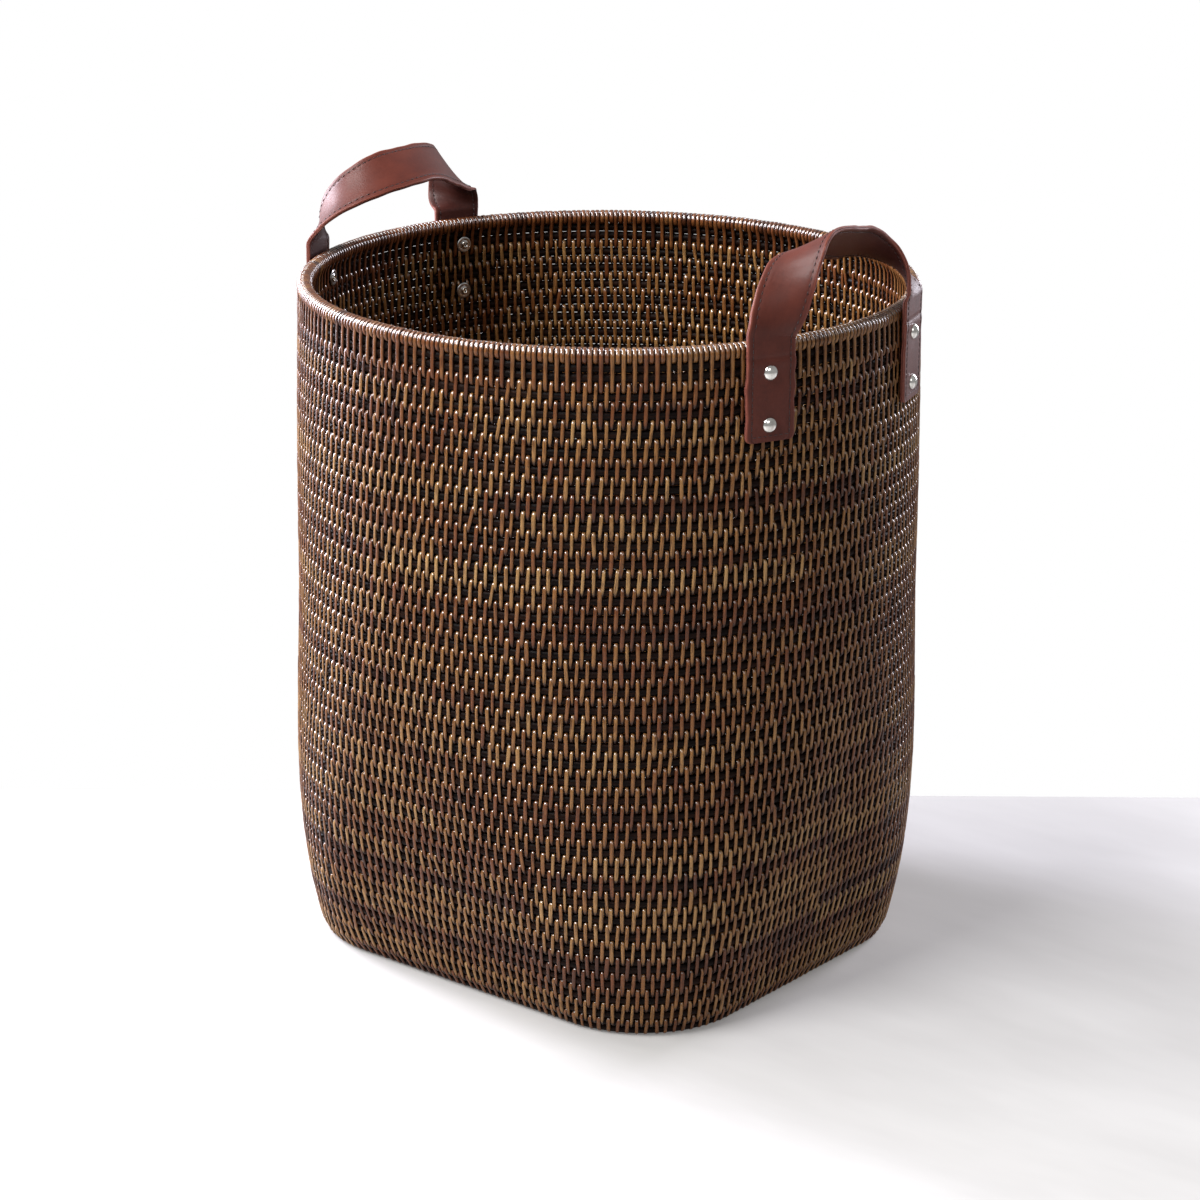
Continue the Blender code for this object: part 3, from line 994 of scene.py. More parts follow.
@dataclass
class Rim:
    """The rim: a rod wound with cane, whose every second strand runs down and binds the top course."""

    form: BasketForm
    coil: Coil
    core_radius: float = 0.0040
    wind_radius: float = 0.0051
    centre: float = 0.4942
    ring_radius: float = 0.2172
    strand_width: float = 0.00352
    cane: float = 0.0013
    jitter: float = 0.00008
    swell: float = 0.025
    lift: float = 0.00010

    @property
    def inset(self) -> float:
        """The rim rod's place inside the outline."""
        return self.form.wall_radius(self.centre) - self.ring_radius

    def ring(self, degree: float, stain_and_shade: float = 0.0) -> Stop:
        """A station of a strand on the rim rod, by its angle above outwards."""
        turn = math.radians(degree)
        out = self.wind_radius * math.cos(turn)
        return Stop(self.inset, self.centre + self.wind_radius * math.sin(turn), out, 0.0, 1.0, stain_and_shade)

    def short_stops(self) -> list[Stop]:
        """Stations of a strand that goes round the rim rod only."""
        # painted shade on the underside of the rim rod, between -140 and -40 degrees
        return [self.ring(degree, 0.8 if -140 < degree < -40 else 0.0) for degree in range(180, -180, -24)]

    def long_stops(self) -> list[Stop]:
        """Stations of a strand that goes on down and under the top course's upper rod."""
        coil = self.coil
        low, step, reach, inset = coil.top_rod, coil.pitch / 2, coil.reach, coil.rod_inset
        made = [self.ring(degree) for degree in (90, 66, 42, 18, -6, -30)]
        down = [
            Stop(inset, low + 2 * step, reach * 1.04), Stop(inset, low + step, reach * 1.02),
            Stop(inset, low + 0.4 * step, reach * 1.01),
        ]
        under = []
        # painted shade, deepening as the strand goes under the top course's upper rod
        for degree, stain_and_shade in ((0, 0.1), (-32, 0.3), (-62, 0.8), (-90, 1.0)):
            turn = math.radians(degree)
            height = low + reach * math.sin(turn)
            under.append(Stop(inset, height, reach * math.cos(turn), 0.0, 0.84, stain_and_shade))
        outside = made[1:] + down + under
        narrowed = []
        for stop in outside:
            width = min(stop.width, 0.90 if stop in down else 1.0)
            narrowed.append(Stop(stop.inset, stop.height, stop.out, 0.0, width, stop.stain_and_shade))
        inside = [
            Stop(stop.inset, stop.height, -stop.out, 0.0, stop.width, stop.stain_and_shade)
            for stop in reversed(narrowed[:-1])
        ]
        return [made[0]] + narrowed + inside

    def build(self, cane: Material, rod: Material) -> list[Piece]:
        """Builds and dresses the rim.

        Args:
            cane: Finish of the winding.
            rod: Finish of the rod inside.

        Returns:
            The winding, then the rod.
        """
        count = self.coil.stitches
        wound = Strands(self.strand_width, self.cane)
        for number, stops in enumerate((self.short_stops(), self.long_stops())):
            shares = (np.arange(count) + 0.5 * (1 - number)) / count + 0.5 / count
            hand = Hand(self.jitter, self.swell, self.lift, 51 + number, 31 + number)
            tones = CaneTones(11, middle=0.36, spread=0.14).of(count)
            wound.sew(self.form, stops, shares, hand, tones, 200 + number)
        places = [(self.centre, self.inset, self.core_radius)]
        return [wound.build("rim_winding", cane), rods_mesh("rim_rod", self.form, places, rod)]


@dataclass
class Base:
    """The foot course, which turns under to the floor, and the coiled bottom inside it."""

    form: BasketForm
    coil: Coil
    level: float = 0.0072
    edge_level: float = 0.0042
    first_inset: float = 0.0117
    stitch_pitch: float = 0.0080

    def foot_stops(self) -> list[Stop]:
        """Stations of a foot stitch: round the two lowest wall rods and the first rod of the bottom."""
        coil = self.coil
        top = coil.upper_rod(coil.courses - 1)
        low = top - coil.pitch / 2
        reach, inset = coil.reach, coil.rod_inset
        low_inset = coil.foot_inset(low)

        def ring(centre_inset: float, centre: float, degree: float, stain_and_shade: float) -> Stop:
            """A station round a rod, never lower than the floor."""
            turn = math.radians(degree)
            height = max(centre + reach * math.sin(turn), FLOOR_GAP)
            return Stop(centre_inset, height, reach * math.cos(turn), 0.0, 1.0, stain_and_shade)

        # the last number given to ring is painted shade: dark where the head tucks under the course above,
        # under the foot and back up the inside
        over = ((90, 1.0), (62, 0.5), (34, 0.1), (6, 0.0))
        made = [ring(inset, top, degree, stain_and_shade) for degree, stain_and_shade in over]
        made += [ring(low_inset, low, degree, 0.0) for degree in (12, -18, -48, -78)]
        made += [ring(self.first_inset, self.edge_level, degree, 0.3) for degree in (-92, -120)]
        made += [ring(self.first_inset, self.edge_level, degree, 0.8) for degree in (-155, 170, 130)]
        made += [ring(inset, top, degree, 0.3) for degree in (205, 180)]
        made += [ring(inset, top, degree, 0.6) for degree in (150, 120)]
        return made

    def rod_places(self) -> list[tuple[float, float]]:
        """Level and inset of each rod of the bottom, from the foot inwards."""
        step = self.coil.pitch / 2
        count = int((self.form.base_half_width - self.first_inset - self.coil.rod_radius) / step)
        levels = [self.edge_level, 0.0060] + [self.level] * count
        return [(levels[i], self.first_inset + step * i) for i in range(count + 1)]

    def bottom_stops(self, rods: list[tuple[float, float]], head: int) -> list[Stop]:
        """Stations of a bottom stitch: over its inner rod, across to the outer one, and back underneath."""
        reach = self.coil.reach
        inner_level, inner = rods[head]
        outer_level, outer = rods[head - 2]
        middle_level, middle = rods[head - 1]

        def inwards(degree: float, width: float, stain_and_shade: float) -> Stop:
            """A station round the inner rod."""
            turn = math.radians(degree)
            height = inner_level + reach * math.sin(turn)
            return Stop(inner + reach * math.cos(turn), height, 0.0, 0.0, width, stain_and_shade)

        # the last number given to inwards, and the 0.7 below the outer rod, are painted shade where the
        # stitch tucks round and under the rods
        made = [inwards(degree, 0.92, 0.9 - degree / 80) for degree in (0, 35, 70)]
        made.append(Stop(inner, inner_level + reach))
        made.append(Stop(middle, middle_level + reach))
        made.append(Stop(outer, outer_level + reach))
        for degree in (120, 150, 180, 210, 240):
            turn = math.radians(degree)
            height = max(outer_level + reach * math.sin(turn), FLOOR_GAP)
            made.append(Stop(outer + reach * math.cos(turn), height, 0.0, 0.0, 0.88, 0.7))
        made.append(Stop(outer, max(outer_level - reach, FLOOR_GAP)))
        made.append(Stop(middle, middle_level - reach))
        made.append(Stop(inner, inner_level - reach))
        return made + [inwards(degree, 0.95, 0.5) for degree in (-60, -30)]

    def build(self, cane: Material, rod: Material) -> tuple[list, list]:
        """Builds and dresses the foot and the bottom.

        Args:
            cane: Finish of the stitches.
            rod: Finish of the rods.

        Returns:
            The pieces of the foot, then those of the bottom.
        """
        coil = self.coil
        foot = Strands(coil.stitch_width, coil.cane)
        coil.sew(foot, coil.courses - 1, self.foot_stops())
        top = coil.upper_rod(coil.courses - 1)
        low = top - coil.pitch / 2
        rods = self.rod_places()
        foot_rods = [
            (top, coil.rod_inset, coil.rod_radius), (low, coil.foot_inset(low), coil.rod_radius),
            (rods[0][0], rods[0][1], coil.rod_radius),
        ]
        bottom = Strands(coil.stitch_width, coil.cane)
        for head in range(2, len(rods), 2):
            stops = self.bottom_stops(rods, head)
            length = self.form.line(rods[head - 1][0], rods[head - 1][1]).length
            count = max(8, round(length / self.stitch_pitch))
            shares = (np.arange(count) + 0.25 * (head % 4)) / count
            middle, across, outwards = loop_strands(self.form, stops, shares, coil.jitter, 1300 + head)
            widths = np.broadcast_to(np.array([stop.width for stop in stops]), (count, len(stops)))
            # painted shade of each station, for the shade attribute
            stain_and_shade = np.broadcast_to(np.array([stop.stain_and_shade for stop in stops]), widths.shape)
            tones = CaneTones(200 + head).of(count)
            bottom.add(middle, across, outwards, widths, tones, stain_and_shade, 300 + head)
        bottom_rods = [(level, inset, coil.rod_radius) for level, inset in rods[1:]]
        return (
            [foot.build("foot_stitches", cane), rods_mesh("foot_rods", self.form, foot_rods, rod)],
            [bottom.build("bottom_stitches", cane), rods_mesh("bottom_rods", self.form, bottom_rods, rod)],
        )


# ---- Leather handles ----


@dataclass
class StrapPath:
    """The run of one strap, from the end of its first tab over the loop to the end of its second."""

    form: BasketForm
    turn: float
    curl_run: float
    lean: float
    face_distance: float = 0.224275
    thickness: float = 0.0033
    spread: float = math.radians(20)
    tab_drop: float = 0.068
    bend_rise: float = 0.0045
    curl_rise: float = 0.004
    slump: Triple = (0.0, 0.0, 0.0)
    sway: Triple = (0.0, 0.0, 0.0)
    ripple: Triple = (0.0, 0.0, 0.0)
    twist: Triple = (0.0, 0.0, 0.0)
    curl_steps: int = 48
    station_gap: float = 0.0014
    softness: float = 0.0105
    centres: Array = field(init=False)
    sides: Array = field(init=False)
    faces: Array = field(init=False)
    runs: Array = field(init=False)
    along: Array = field(init=False)

    def __post_init__(self) -> None:
        """Lays out the stations."""
        points, sides = self.rough_stations()
        steps = np.concatenate([[0.0], np.cumsum(np.linalg.norm(np.diff(points, axis=0), axis=1))])
        total = steps[-1]
        end = np.array([0.0, 0.0003, 0.0008, 0.0016, 0.0026])
        body = np.arange(0.004, total - 0.004, self.station_gap)
        self.along = np.concatenate([end, body, total - end[::-1]])
        centres = np.stack([np.interp(self.along, steps, points[:, i]) for i in range(3)], axis=1)
        side = np.stack([np.interp(self.along, steps, sides[:, i]) for i in range(3)], axis=1)
        above = self.form.height + self.bend_rise
        free = smooth_step((centres[:, 2] - above) / 0.016)[:, None]
        spread = max(1.0, self.softness / self.station_gap)
        centres = centres * (1 - free) + self.soften(centres, spread) * free
        side = side * (1 - free) + self.soften(side, spread) * free
        centres, side = self.settled(centres, side)
        self.runs = unit(np.gradient(centres, self.along, axis=0))
        self.sides = unit(side - np.einsum("ij,ij->i", side, self.runs)[:, None] * self.runs)
        self.faces = np.cross(self.sides, self.runs)
        self.centres = centres

    def settled(self, centres: Array, side: Array) -> tuple[Array, Array]:
        """Bends and twists the free loop, the way worn leather comes to lie.

        Args:
            centres: Middles of the stations.
            side: Side directions of the stations.

        Returns:
            New middles and side directions.
        """
        above = np.flatnonzero(centres[:, 2] > self.form.height + self.bend_rise)
        first, last = self.along[above[0]], self.along[above[-1]]
        share = np.clip((self.along - first) / (last - first), 0, 1)[:, None]
        waves = [np.sin((count + 1) * math.pi * share) for count in range(3)]
        pulls = (self.slump, self.sway, self.ripple)
        moved = centres + sum(wave * np.array(pull) for wave, pull in zip(waves, pulls))
        run = unit(np.gradient(moved, self.along, axis=0))
        angle = sum(wave * turn for wave, turn in zip(waves, self.twist))
        turned = side * np.cos(angle) + np.cross(side, run) * np.sin(angle)
        return moved, turned

    @staticmethod
    def soften(values: Array, spread: float) -> Array:
        """Averages each station with its neighbours.

        Args:
            values: Rows to average.
            spread: How far it reaches, in stations.

        Returns:
            The averaged rows.
        """
        reach = int(spread * 3)
        weights = np.exp(-0.5 * (np.arange(-reach, reach + 1) / spread) ** 2)
        weights /= weights.sum()
        padded = np.pad(values, ((reach, reach), (0, 0)), mode="edge")
        columns = [np.convolve(padded[:, i], weights, mode="valid") for i in range(values.shape[1])]
        return np.stack(columns, axis=1)

    def rough_stations(self) -> tuple[Array, Array]:
        """Points and side directions of tabs, curls and the straight top."""
        out = Vector((math.cos(self.spread), -math.sin(self.spread), 0))
        up, ahead, outer = Vector((0, 0, 1)), Vector((0, 1, 0)), Vector((1, 0, 0))
        foot = out * (self.face_distance + self.thickness / 2)
        height = self.form.height
        bend = height + self.bend_rise
        points, sides = [], []

        def add(point: Vector, run: Vector, face: Vector) -> None:
            """Adds one station."""
            points.append(tuple(point))
            sides.append(tuple(run.cross(face)))

        for level in np.linspace(height - self.tab_drop, bend + self.curl_rise, 40)[:-1]:
            add(foot + up * float(level), up, out)
        top_face = -outer * math.cos(self.lean) + up * math.sin(self.lean)
        first = Matrix((up, up.cross(out), out)).transposed()
        last = Matrix((ahead, ahead.cross(top_face), top_face)).transposed()
        axis, angle = (last @ first.inverted()).to_quaternion().to_axis_angle()
        if axis.dot(up + ahead) > 0:
            axis, angle = -axis, 2 * math.pi - angle
        cross_run = up - axis * axis.dot(up)

        def travel(share: float) -> Vector:
            turned = angle * share
            curve = cross_run * math.sin(turned) + axis.cross(up) * (1 - math.cos(turned))
            return axis * axis.dot(up) * share + curve / angle

        length = self.curl_run / travel(1.0).dot(ahead)
        start = foot + up * (bend + self.curl_rise)
        for step in range(self.curl_steps + 1):
            share = step / self.curl_steps
            rotation = Matrix.Rotation(angle * share, 3, axis)
            add(start + travel(share) * length, rotation @ up, rotation @ out)
        top = Vector(points[-1])
        for share in np.linspace(0, 1, 9)[1:]:
            add(Vector((top.x, top.y * (1 - float(share)), top.z)), ahead, top_face)
        flip = np.array([1.0, -1.0, 1.0])
        half, half_sides = np.array(points), np.array(sides)
        points = np.concatenate([half, half[-2::-1] * flip])
        sides = np.concatenate([half_sides, half_sides[-2::-1] * flip])
        spin = np.array(Matrix.Rotation(self.turn, 3, "Z"))
        return points @ spin.T, sides @ spin.T

    def at(self, along: Array) -> tuple[Array, Array, Array, Array]:
        """Reads the path.

        Args:
            along: Distances from the first tab's end.

        Returns:
            Middles, runs, sides and faces.
        """
        read = [
            np.stack([np.interp(along, self.along, rows[:, i]) for i in range(3)], axis=1)
            for rows in (self.centres, self.runs, self.sides, self.faces)
        ]
        return read[0], unit(read[1]), unit(read[2]), unit(read[3])


@dataclass
class LeatherHandle:
    """A strap of two layers sewn together, riveted to the wall at both ends."""

    name: str
    body: Body
    path: StrapPath
    width: float = 0.037
    grain_layer: float = 0.0017
    lining_layer: float = 0.0014
    tab_corner: float = 0.004
    seam: float = 0.0145
    seam_depth: float = 0.00022
    edge_round: float = 0.0005
    thread_gap: float = 0.0041
    thread_length: float = 0.0031
    thread_radius: float = 0.00033
    rivet_drops: tuple[float, float] = (0.0205, 0.0565)
    crease_drop: float = 0.0105
    pinch: float = 0.0360
    long_wave: tuple[float, float] = (0.00030, 0.041)  # depth and length of the edge's waves
    short_wave: tuple[float, float] = (0.00016, 0.0173)
    pinch_bulge: float = 0.00065
    pinch_waist: float = 0.00050
    rivet_press: tuple[float, float] = (0.00045, 0.0080)  # depth and reach round a rivet
    crease_press: tuple[float, float] = (0.00040, 0.0011)
    crease_lift: tuple[float, float] = (0.00030, 0.0035)

    def across_places(self) -> Array:
        """Places across the strap, closer at its edges and seams, as distances from its middle."""
        half = self.width / 2
        outer = [half, half - 0.0003, half - 0.0009, half - 0.0020]
        seam = [self.seam + 0.0008, self.seam + 0.0003, self.seam - 0.0003, self.seam - 0.0008]
        inner = [0.0115, 0.0080, 0.0040]
        side = np.array(outer + seam + inner)
        return np.concatenate([-side, [0.0], side[::-1]])

    def edge_wave(self, along: Array, phase: float) -> Array:
        """How far a hand-cut edge strays from straight."""
        wave = self.long_wave[0] * np.sin(along * 2 * math.pi / self.long_wave[1] + phase)
        wave += self.short_wave[0] * np.sin(along * 2 * math.pi / self.short_wave[1] + phase * 2.3)
        from_end = np.minimum(along, self.path.along[-1] - along)
        bulge = np.exp(-(((from_end - self.pinch) / 0.0045) ** 2))
        waist = np.exp(-(((from_end - self.pinch - 0.008) / 0.004) ** 2))
        return wave + self.pinch_bulge * bulge - self.pinch_waist * waist

    def corner_share(self, along: Array) -> Array:
        """How much of the width is left at the rounded ends, as a distance from the full edge."""
        from_end = np.minimum(along, self.path.along[-1] - along)
        inside = np.clip(self.tab_corner - from_end, 0.0, self.tab_corner)
        return self.tab_corner - np.sqrt(np.maximum(self.tab_corner**2 - inside**2, 0.0))

    def pressed(self, points: Array) -> Array:
        """How far the leather is pressed in round its rivets and lifts between them."""
        spin = Matrix.Rotation(self.path.turn, 3, "Z")
        depth = np.zeros(points.shape[:-1])
        for side in (-1, 1):
            out = spin @ Vector((math.cos(self.path.spread), side * math.sin(self.path.spread), 0))
            for drop in self.rivet_drops:
                centre = np.array(out * self.path.face_distance) + UP * (self.path.form.height - drop)
                distance = np.linalg.norm(points - centre, axis=-1)
                depth -= self.rivet_press[0] * np.exp(-((distance / self.rivet_press[1]) ** 2))
        below = self.path.form.height - self.crease_drop - points[..., 2]
        depth -= self.crease_press[0] * np.exp(-((below / self.crease_press[1]) ** 2))
        lift = np.exp(-(((below - 0.0045) / self.crease_lift[1]) ** 2))
        return depth + self.crease_lift[0] * lift

    def layer(self, name: str, low: float, high: float, materials: list[Material]) -> Piece:
        """Builds one layer of the strap.

        Args:
            name: The piece's name.
            low: Inner face, from the strap's middle.
            high: Outer face.
            materials: The face's leather, then the cut edge's.

        Returns:
            The layer.
        """
        path, half = self.path, self.width / 2
        places = self.across_places()
        count = len(places)
        along = path.along
        taken = self.corner_share(along)[:, None]
        wave = np.where(
            places[None] > 0, self.edge_wave(along, 0.4)[:, None], self.edge_wave(along, 2.1)[:, None]
        )
        strength = (np.abs(places) / half)[None] ** 3
        across = places[None] * (1 - taken / half) + np.sign(places)[None] * wave * strength
        rounding = self.edge_round * np.clip((np.abs(places) - half + 0.0009) / 0.0009, 0, 1) ** 2
        dent = self.seam_depth * np.exp(-(((np.abs(places) - self.seam) / 0.00055) ** 2))
        outer_face = high > 0
        face_high = high - (rounding + dent if outer_face else 0.15 * rounding)
        face_low = low + (0.15 * rounding if outer_face else rounding + dent)
        centre = path.centres[:, None]
        flat = centre + path.sides[:, None] * across[..., None]
        press = self.pressed(flat)
        top = flat + path.faces[:, None] * (face_high[None] + press)[..., None]
        followed = press * (0.5 if outer_face else 0.2)
        bottom = flat + path.faces[:, None] * (face_low[None] + followed)[..., None]
        ring = np.concatenate([top, bottom[:, ::-1]], axis=1)
        stations, sides = ring.shape[:2]
        points = ring.reshape(-1, 3)
        faces = tube_faces(stations, sides, False)
        column = np.tile(np.arange(sides), stations - 1)
        on_edge = (column == count - 1) | (column == sides - 1)
        caps = []
        for row in (0, stations - 1):
            base = row * sides
            last = base + sides - 1
            cap = np.array([[base + i, base + i + 1, last - 1 - i, last - i] for i in range(count - 1)])
            caps.append(cap if row else cap[:, ::-1])
        slots = np.concatenate([on_edge.astype(int), np.ones(2 * (count - 1), int)])
        faces = np.concatenate([faces, *caps])
        lay = np.empty((stations, sides, 3))
        lay[..., 0] = np.concatenate([places, places[::-1]])[None]
        lay[..., 1] = along[:, None]
        lay[..., 2] = np.concatenate([face_high, face_low[::-1]])[None] + (0 if outer_face else 5.0)
        attributes = {"lay": lay.reshape(-1, 3)}
        item = add_mesh(name, points, facing_out(points, faces), materials, attributes, slots)
        item.data.set_sharp_from_angle(angle=math.radians(50))
        return item

    def seam_places(self) -> tuple[Array, Array, Array]:
        """Distance along, distance across and direction (0 along, 1 across) of each thread stitch."""
        total = self.path.along[-1]
        inset = self.width / 2 - self.seam
        count = round((total - 2 * inset) / self.thread_gap)
        run = inset + (np.arange(count) + 0.5) * (total - 2 * inset) / count
        width_count = round(2 * self.seam / self.thread_gap)
        over = -self.seam + (np.arange(width_count) + 0.5) * 2 * self.seam / width_count
        along = np.concatenate([run, run, np.full(width_count, inset), np.full(width_count, total - inset)])
        across = np.concatenate([np.full(count, self.seam), np.full(count, -self.seam), over, over])
        turned = np.concatenate([np.zeros(2 * count), np.ones(2 * width_count)])
        return along, across, turned

    def threads(self, material: Material) -> Piece:
        """Builds the sewing: a row of stitches in each seam, on both faces."""
        along, across, turned = self.seam_places()
        centre, run, side, face = self.path.at(along)
        heading = np.where(turned[:, None] > 0, side, run)
        beside = np.where(turned[:, None] > 0, run, side)
        spot = centre + side * across[:, None]
        press = self.pressed(spot)
        shape = np.array([(-1.0, 0.45), (-0.78, 0.85), (-0.3, 1.0), (0.3, 1.0), (0.78, 0.85), (1.0, 0.45)])
        turn = np.linspace(0, 2 * math.pi, 8, endpoint=False)
        points, lays = [], []
        for direction, level in ((1.0, self.grain_layer), (-1.0, self.lining_layer)):
            other = self.grain_layer if direction > 0 else self.lining_layer
            proud = level + self.path.thickness / 2 - other
            base = spot + face * (direction * (proud - self.seam_depth * 0.4) + press)[:, None]
            sag = np.array([-0.5, -0.1, 0.15, 0.15, -0.1, -0.5]) * self.thread_radius
            middle = (
                base[:, None]
                + heading[:, None] * (shape[:, 0] * self.thread_length / 2)[None, :, None]
                + face[:, None] * (direction * sag)[None, :, None]
            )
            ring = np.stack([np.cos(turn), np.sin(turn)], axis=-1)[None, None] * self.thread_radius
            ring = ring * shape[:, 1][None, :, None, None]
            stations = len(shape)
            spread = np.broadcast_to(beside[:, None], middle.shape)
            lift = np.broadcast_to(face[:, None] * direction, middle.shape)
            points.append(sweep(middle, spread, lift, ring).reshape(-1, 3))
            lay = np.empty((len(along), stations, 8, 3))
            lay[..., 0] = (shape[:, 0] * self.thread_length / 2)[None, :, None] + along[:, None, None]
            lay[..., 1] = turn[None, None] * self.thread_radius
            lay[..., 2] = direction
            lays.append(lay.reshape(-1, 3))
        tube = tube_faces(len(shape), 8, False)
        ends = np.array([[0, 1, 2, 3], [0, 3, 4, 7], [7, 4, 5, 6]])
        last = (len(shape) - 1) * 8
        closed = np.concatenate([tube, ends[:, ::-1], ends + last])
        stacked = np.concatenate(points)
        faces = many(closed, 2 * len(along), len(shape) * 8)
        return add_mesh(
            f"{self.name}_strap_thread", stacked, facing_out(stacked, faces), [material],
            {"lay": np.concatenate(lays)},
        )

    def bend(self, piece: Piece) -> None:
        """Applies a piece of the strap's placement to its mesh."""
        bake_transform(piece)

    def build(
        self, grain: Material, lining: Material, edge: Material,
        thread: Material,
    ) -> list[Piece]:
        """Builds and dresses the strap.

        Args:
            grain: Finish of the outer leather.
            lining: Finish of the inner leather.
            edge: Finish of the cut edges.
            thread: Finish of the sewing.

        Returns:
            Outer layer, lining and sewing.
        """
        half = self.path.thickness / 2
        outer = self.layer(f"{self.name}_strap_grain", half - self.grain_layer, half, [grain, edge])
        inner = self.layer(f"{self.name}_strap_lining", -half, -half + self.lining_layer, [lining, edge])
        sewn = self.threads(thread)
        for piece, layer, slot in ((outer, "leather", Slot.GRAIN), (inner, "lining", Slot.LINING)):
            self.bend(piece)
            nodes = [f"{self.name}_{part}_{layer}" for part in ("front_tab", "loop", "rear_tab")]
            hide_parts(*nodes)
        self.bend(sewn)
        return [outer, inner, sewn]


# ---- Rivets ----


@dataclass
class Fastener:
    """A domed rivet through strap and wall, clenched over a dished washer inside."""

    handle: str
    number: int
    cap_radius: float = 0.0055
    cap_height: float = 0.0037
    packed_radius: float = 0.0050
    packed_height: float = 0.0032
    shank_radius: float = 0.0020
    washer_radius: float = 0.0060
    steps: int = 40

    def revolve(
        self, name: str, profile: list[tuple[float, float]], aim: Matrix, material: Material,
        closed: bool = False,
    ) -> Piece:
        """Turns a profile into a piece.

        Args:
            name: The piece's name.
            profile: Radius and distance pairs; an open one starts and ends next to the axis.
            aim: Where it goes, with its axis along local Z.
            material: Its finish.
            closed: Whether the profile is a closed ring.

        Returns:
            The piece.
        """
        shape = np.array(profile)
        turn = np.linspace(0, 2 * math.pi, self.steps, endpoint=False)
        rings = np.empty((self.steps, len(shape), 3))
        rings[..., 0] = np.cos(turn)[:, None] * shape[:, 0]
        rings[..., 1] = np.sin(turn)[:, None] * shape[:, 0]
        rings[..., 2] = shape[:, 1]
        placed = rings.reshape(-1, 3) @ np.array(aim.to_3x3()).T + np.array(aim.translation)
        faces = tube_faces(self.steps, len(shape), True)
        if not closed:
            faces = faces.reshape(self.steps, len(shape), 4)[:, :-1].reshape(-1, 4)
        item = add_mesh(name, placed, facing_out(placed, faces), [material])
        item.data.set_sharp_from_angle(angle=math.radians(60))
        return item

    def build(self, bright: Material, dull: Material) -> list[Piece]:
        """Builds and dresses the rivet and its washer.

        Args:
            bright: Finish of the rivet.
            dull: Finish of the washer.

        Returns:
            The rivet and the washer.
        """
        low, high = (Vector(corner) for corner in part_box(f"{self.handle}_rivet_{self.number}"))
        centre = (low + high) / 2
        out = Vector((centre.x, centre.y, 0)).normalized()
        spread = abs(math.atan2(abs(centre.y), abs(centre.x)))
        flat = (high - low).to_2d()
        length = (flat.x - 2 * self.packed_radius * math.sin(spread)) / math.cos(spread)
        aim = Matrix.Translation(centre) @ out.to_track_quat("Z", "Y").to_matrix().to_4x4()
        top, bottom = length / 2 + self.cap_height - self.packed_height, -length / 2
        seat = top - self.cap_height - 0.0001
        cap = []
        for step in range(0, 15):
            turn = math.pi / 2 * step / 14
            height = seat + 0.0003 + self.cap_height * math.cos(turn)
            cap.append((max(self.cap_radius * math.sin(turn), 0.00002), height))
        cap += [(self.cap_radius * 1.01, seat + 0.00015), (self.cap_radius * 0.97, seat)]
        cap.append((self.shank_radius, seat))
        clench = bottom + 0.0012
        cap += [(self.shank_radius, clench), (0.0027, clench)]
        for step in range(7):
            turn = math.pi * step / 6
            cap.append((0.0020 + 0.0008 * math.cos(turn), clench - 0.0003 - 0.0008 * math.sin(turn)))
        cap += [(0.00115, clench + 0.0012), (0.00002, clench + 0.0014)]
        rivet = self.revolve(f"{self.handle}_rivet_{self.number}_shown", cap, aim, bright)
        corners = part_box(f"{self.handle}_washer_{self.number}")
        washer_low, washer_high = (Vector(corner) for corner in corners)
        spot = (washer_low + washer_high) / 2
        washer_aim = Matrix.Translation(spot) @ (-out).to_track_quat("Z", "Y").to_matrix().to_4x4()
        back = -0.0006
        ring = [
            (0.0023, back), (self.washer_radius * 0.98, back), (self.washer_radius, back + 0.00035),
            (self.washer_radius * 0.94, back + 0.00075), (self.washer_radius * 0.80, back + 0.00085),
            (self.washer_radius * 0.66, back + 0.00060), (self.washer_radius * 0.55, back + 0.00062),
            (0.0028, back + 0.0010), (0.0023, back + 0.0009),
        ]
        shown = f"{self.handle}_washer_{self.number}_shown"
        washer = self.revolve(shown, ring, washer_aim, dull, closed=True)
        for piece, node in ((rivet, "rivet"), (washer, "washer")):
            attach(piece, Body.BASKET.value)
            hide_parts(f"{self.handle}_{node}_{self.number}")
        return [rivet, washer]


# ---- Studio ----


@dataclass(frozen=True)
class Softbox:
    """A soft area light."""

    name: str
    place: Triple
    size: tuple[float, float]
    power: float
    color: Triple = (1.0, 1.0, 1.0)

    def build(self, target: Vector) -> None:
        """Hangs the light, aimed at a point."""
        data = bpy.data.lights.new(self.name, "AREA")
        data.shape = "RECTANGLE"
        data.size, data.size_y = self.size
        data.energy = self.power
        data.color = self.color
        item = bpy.data.objects.new(self.name, data)
        item.location = self.place
        item.rotation_euler = (target - Vector(self.place)).to_track_quat("-Z", "Y").to_euler()
        bpy.context.scene.collection.objects.link(item)


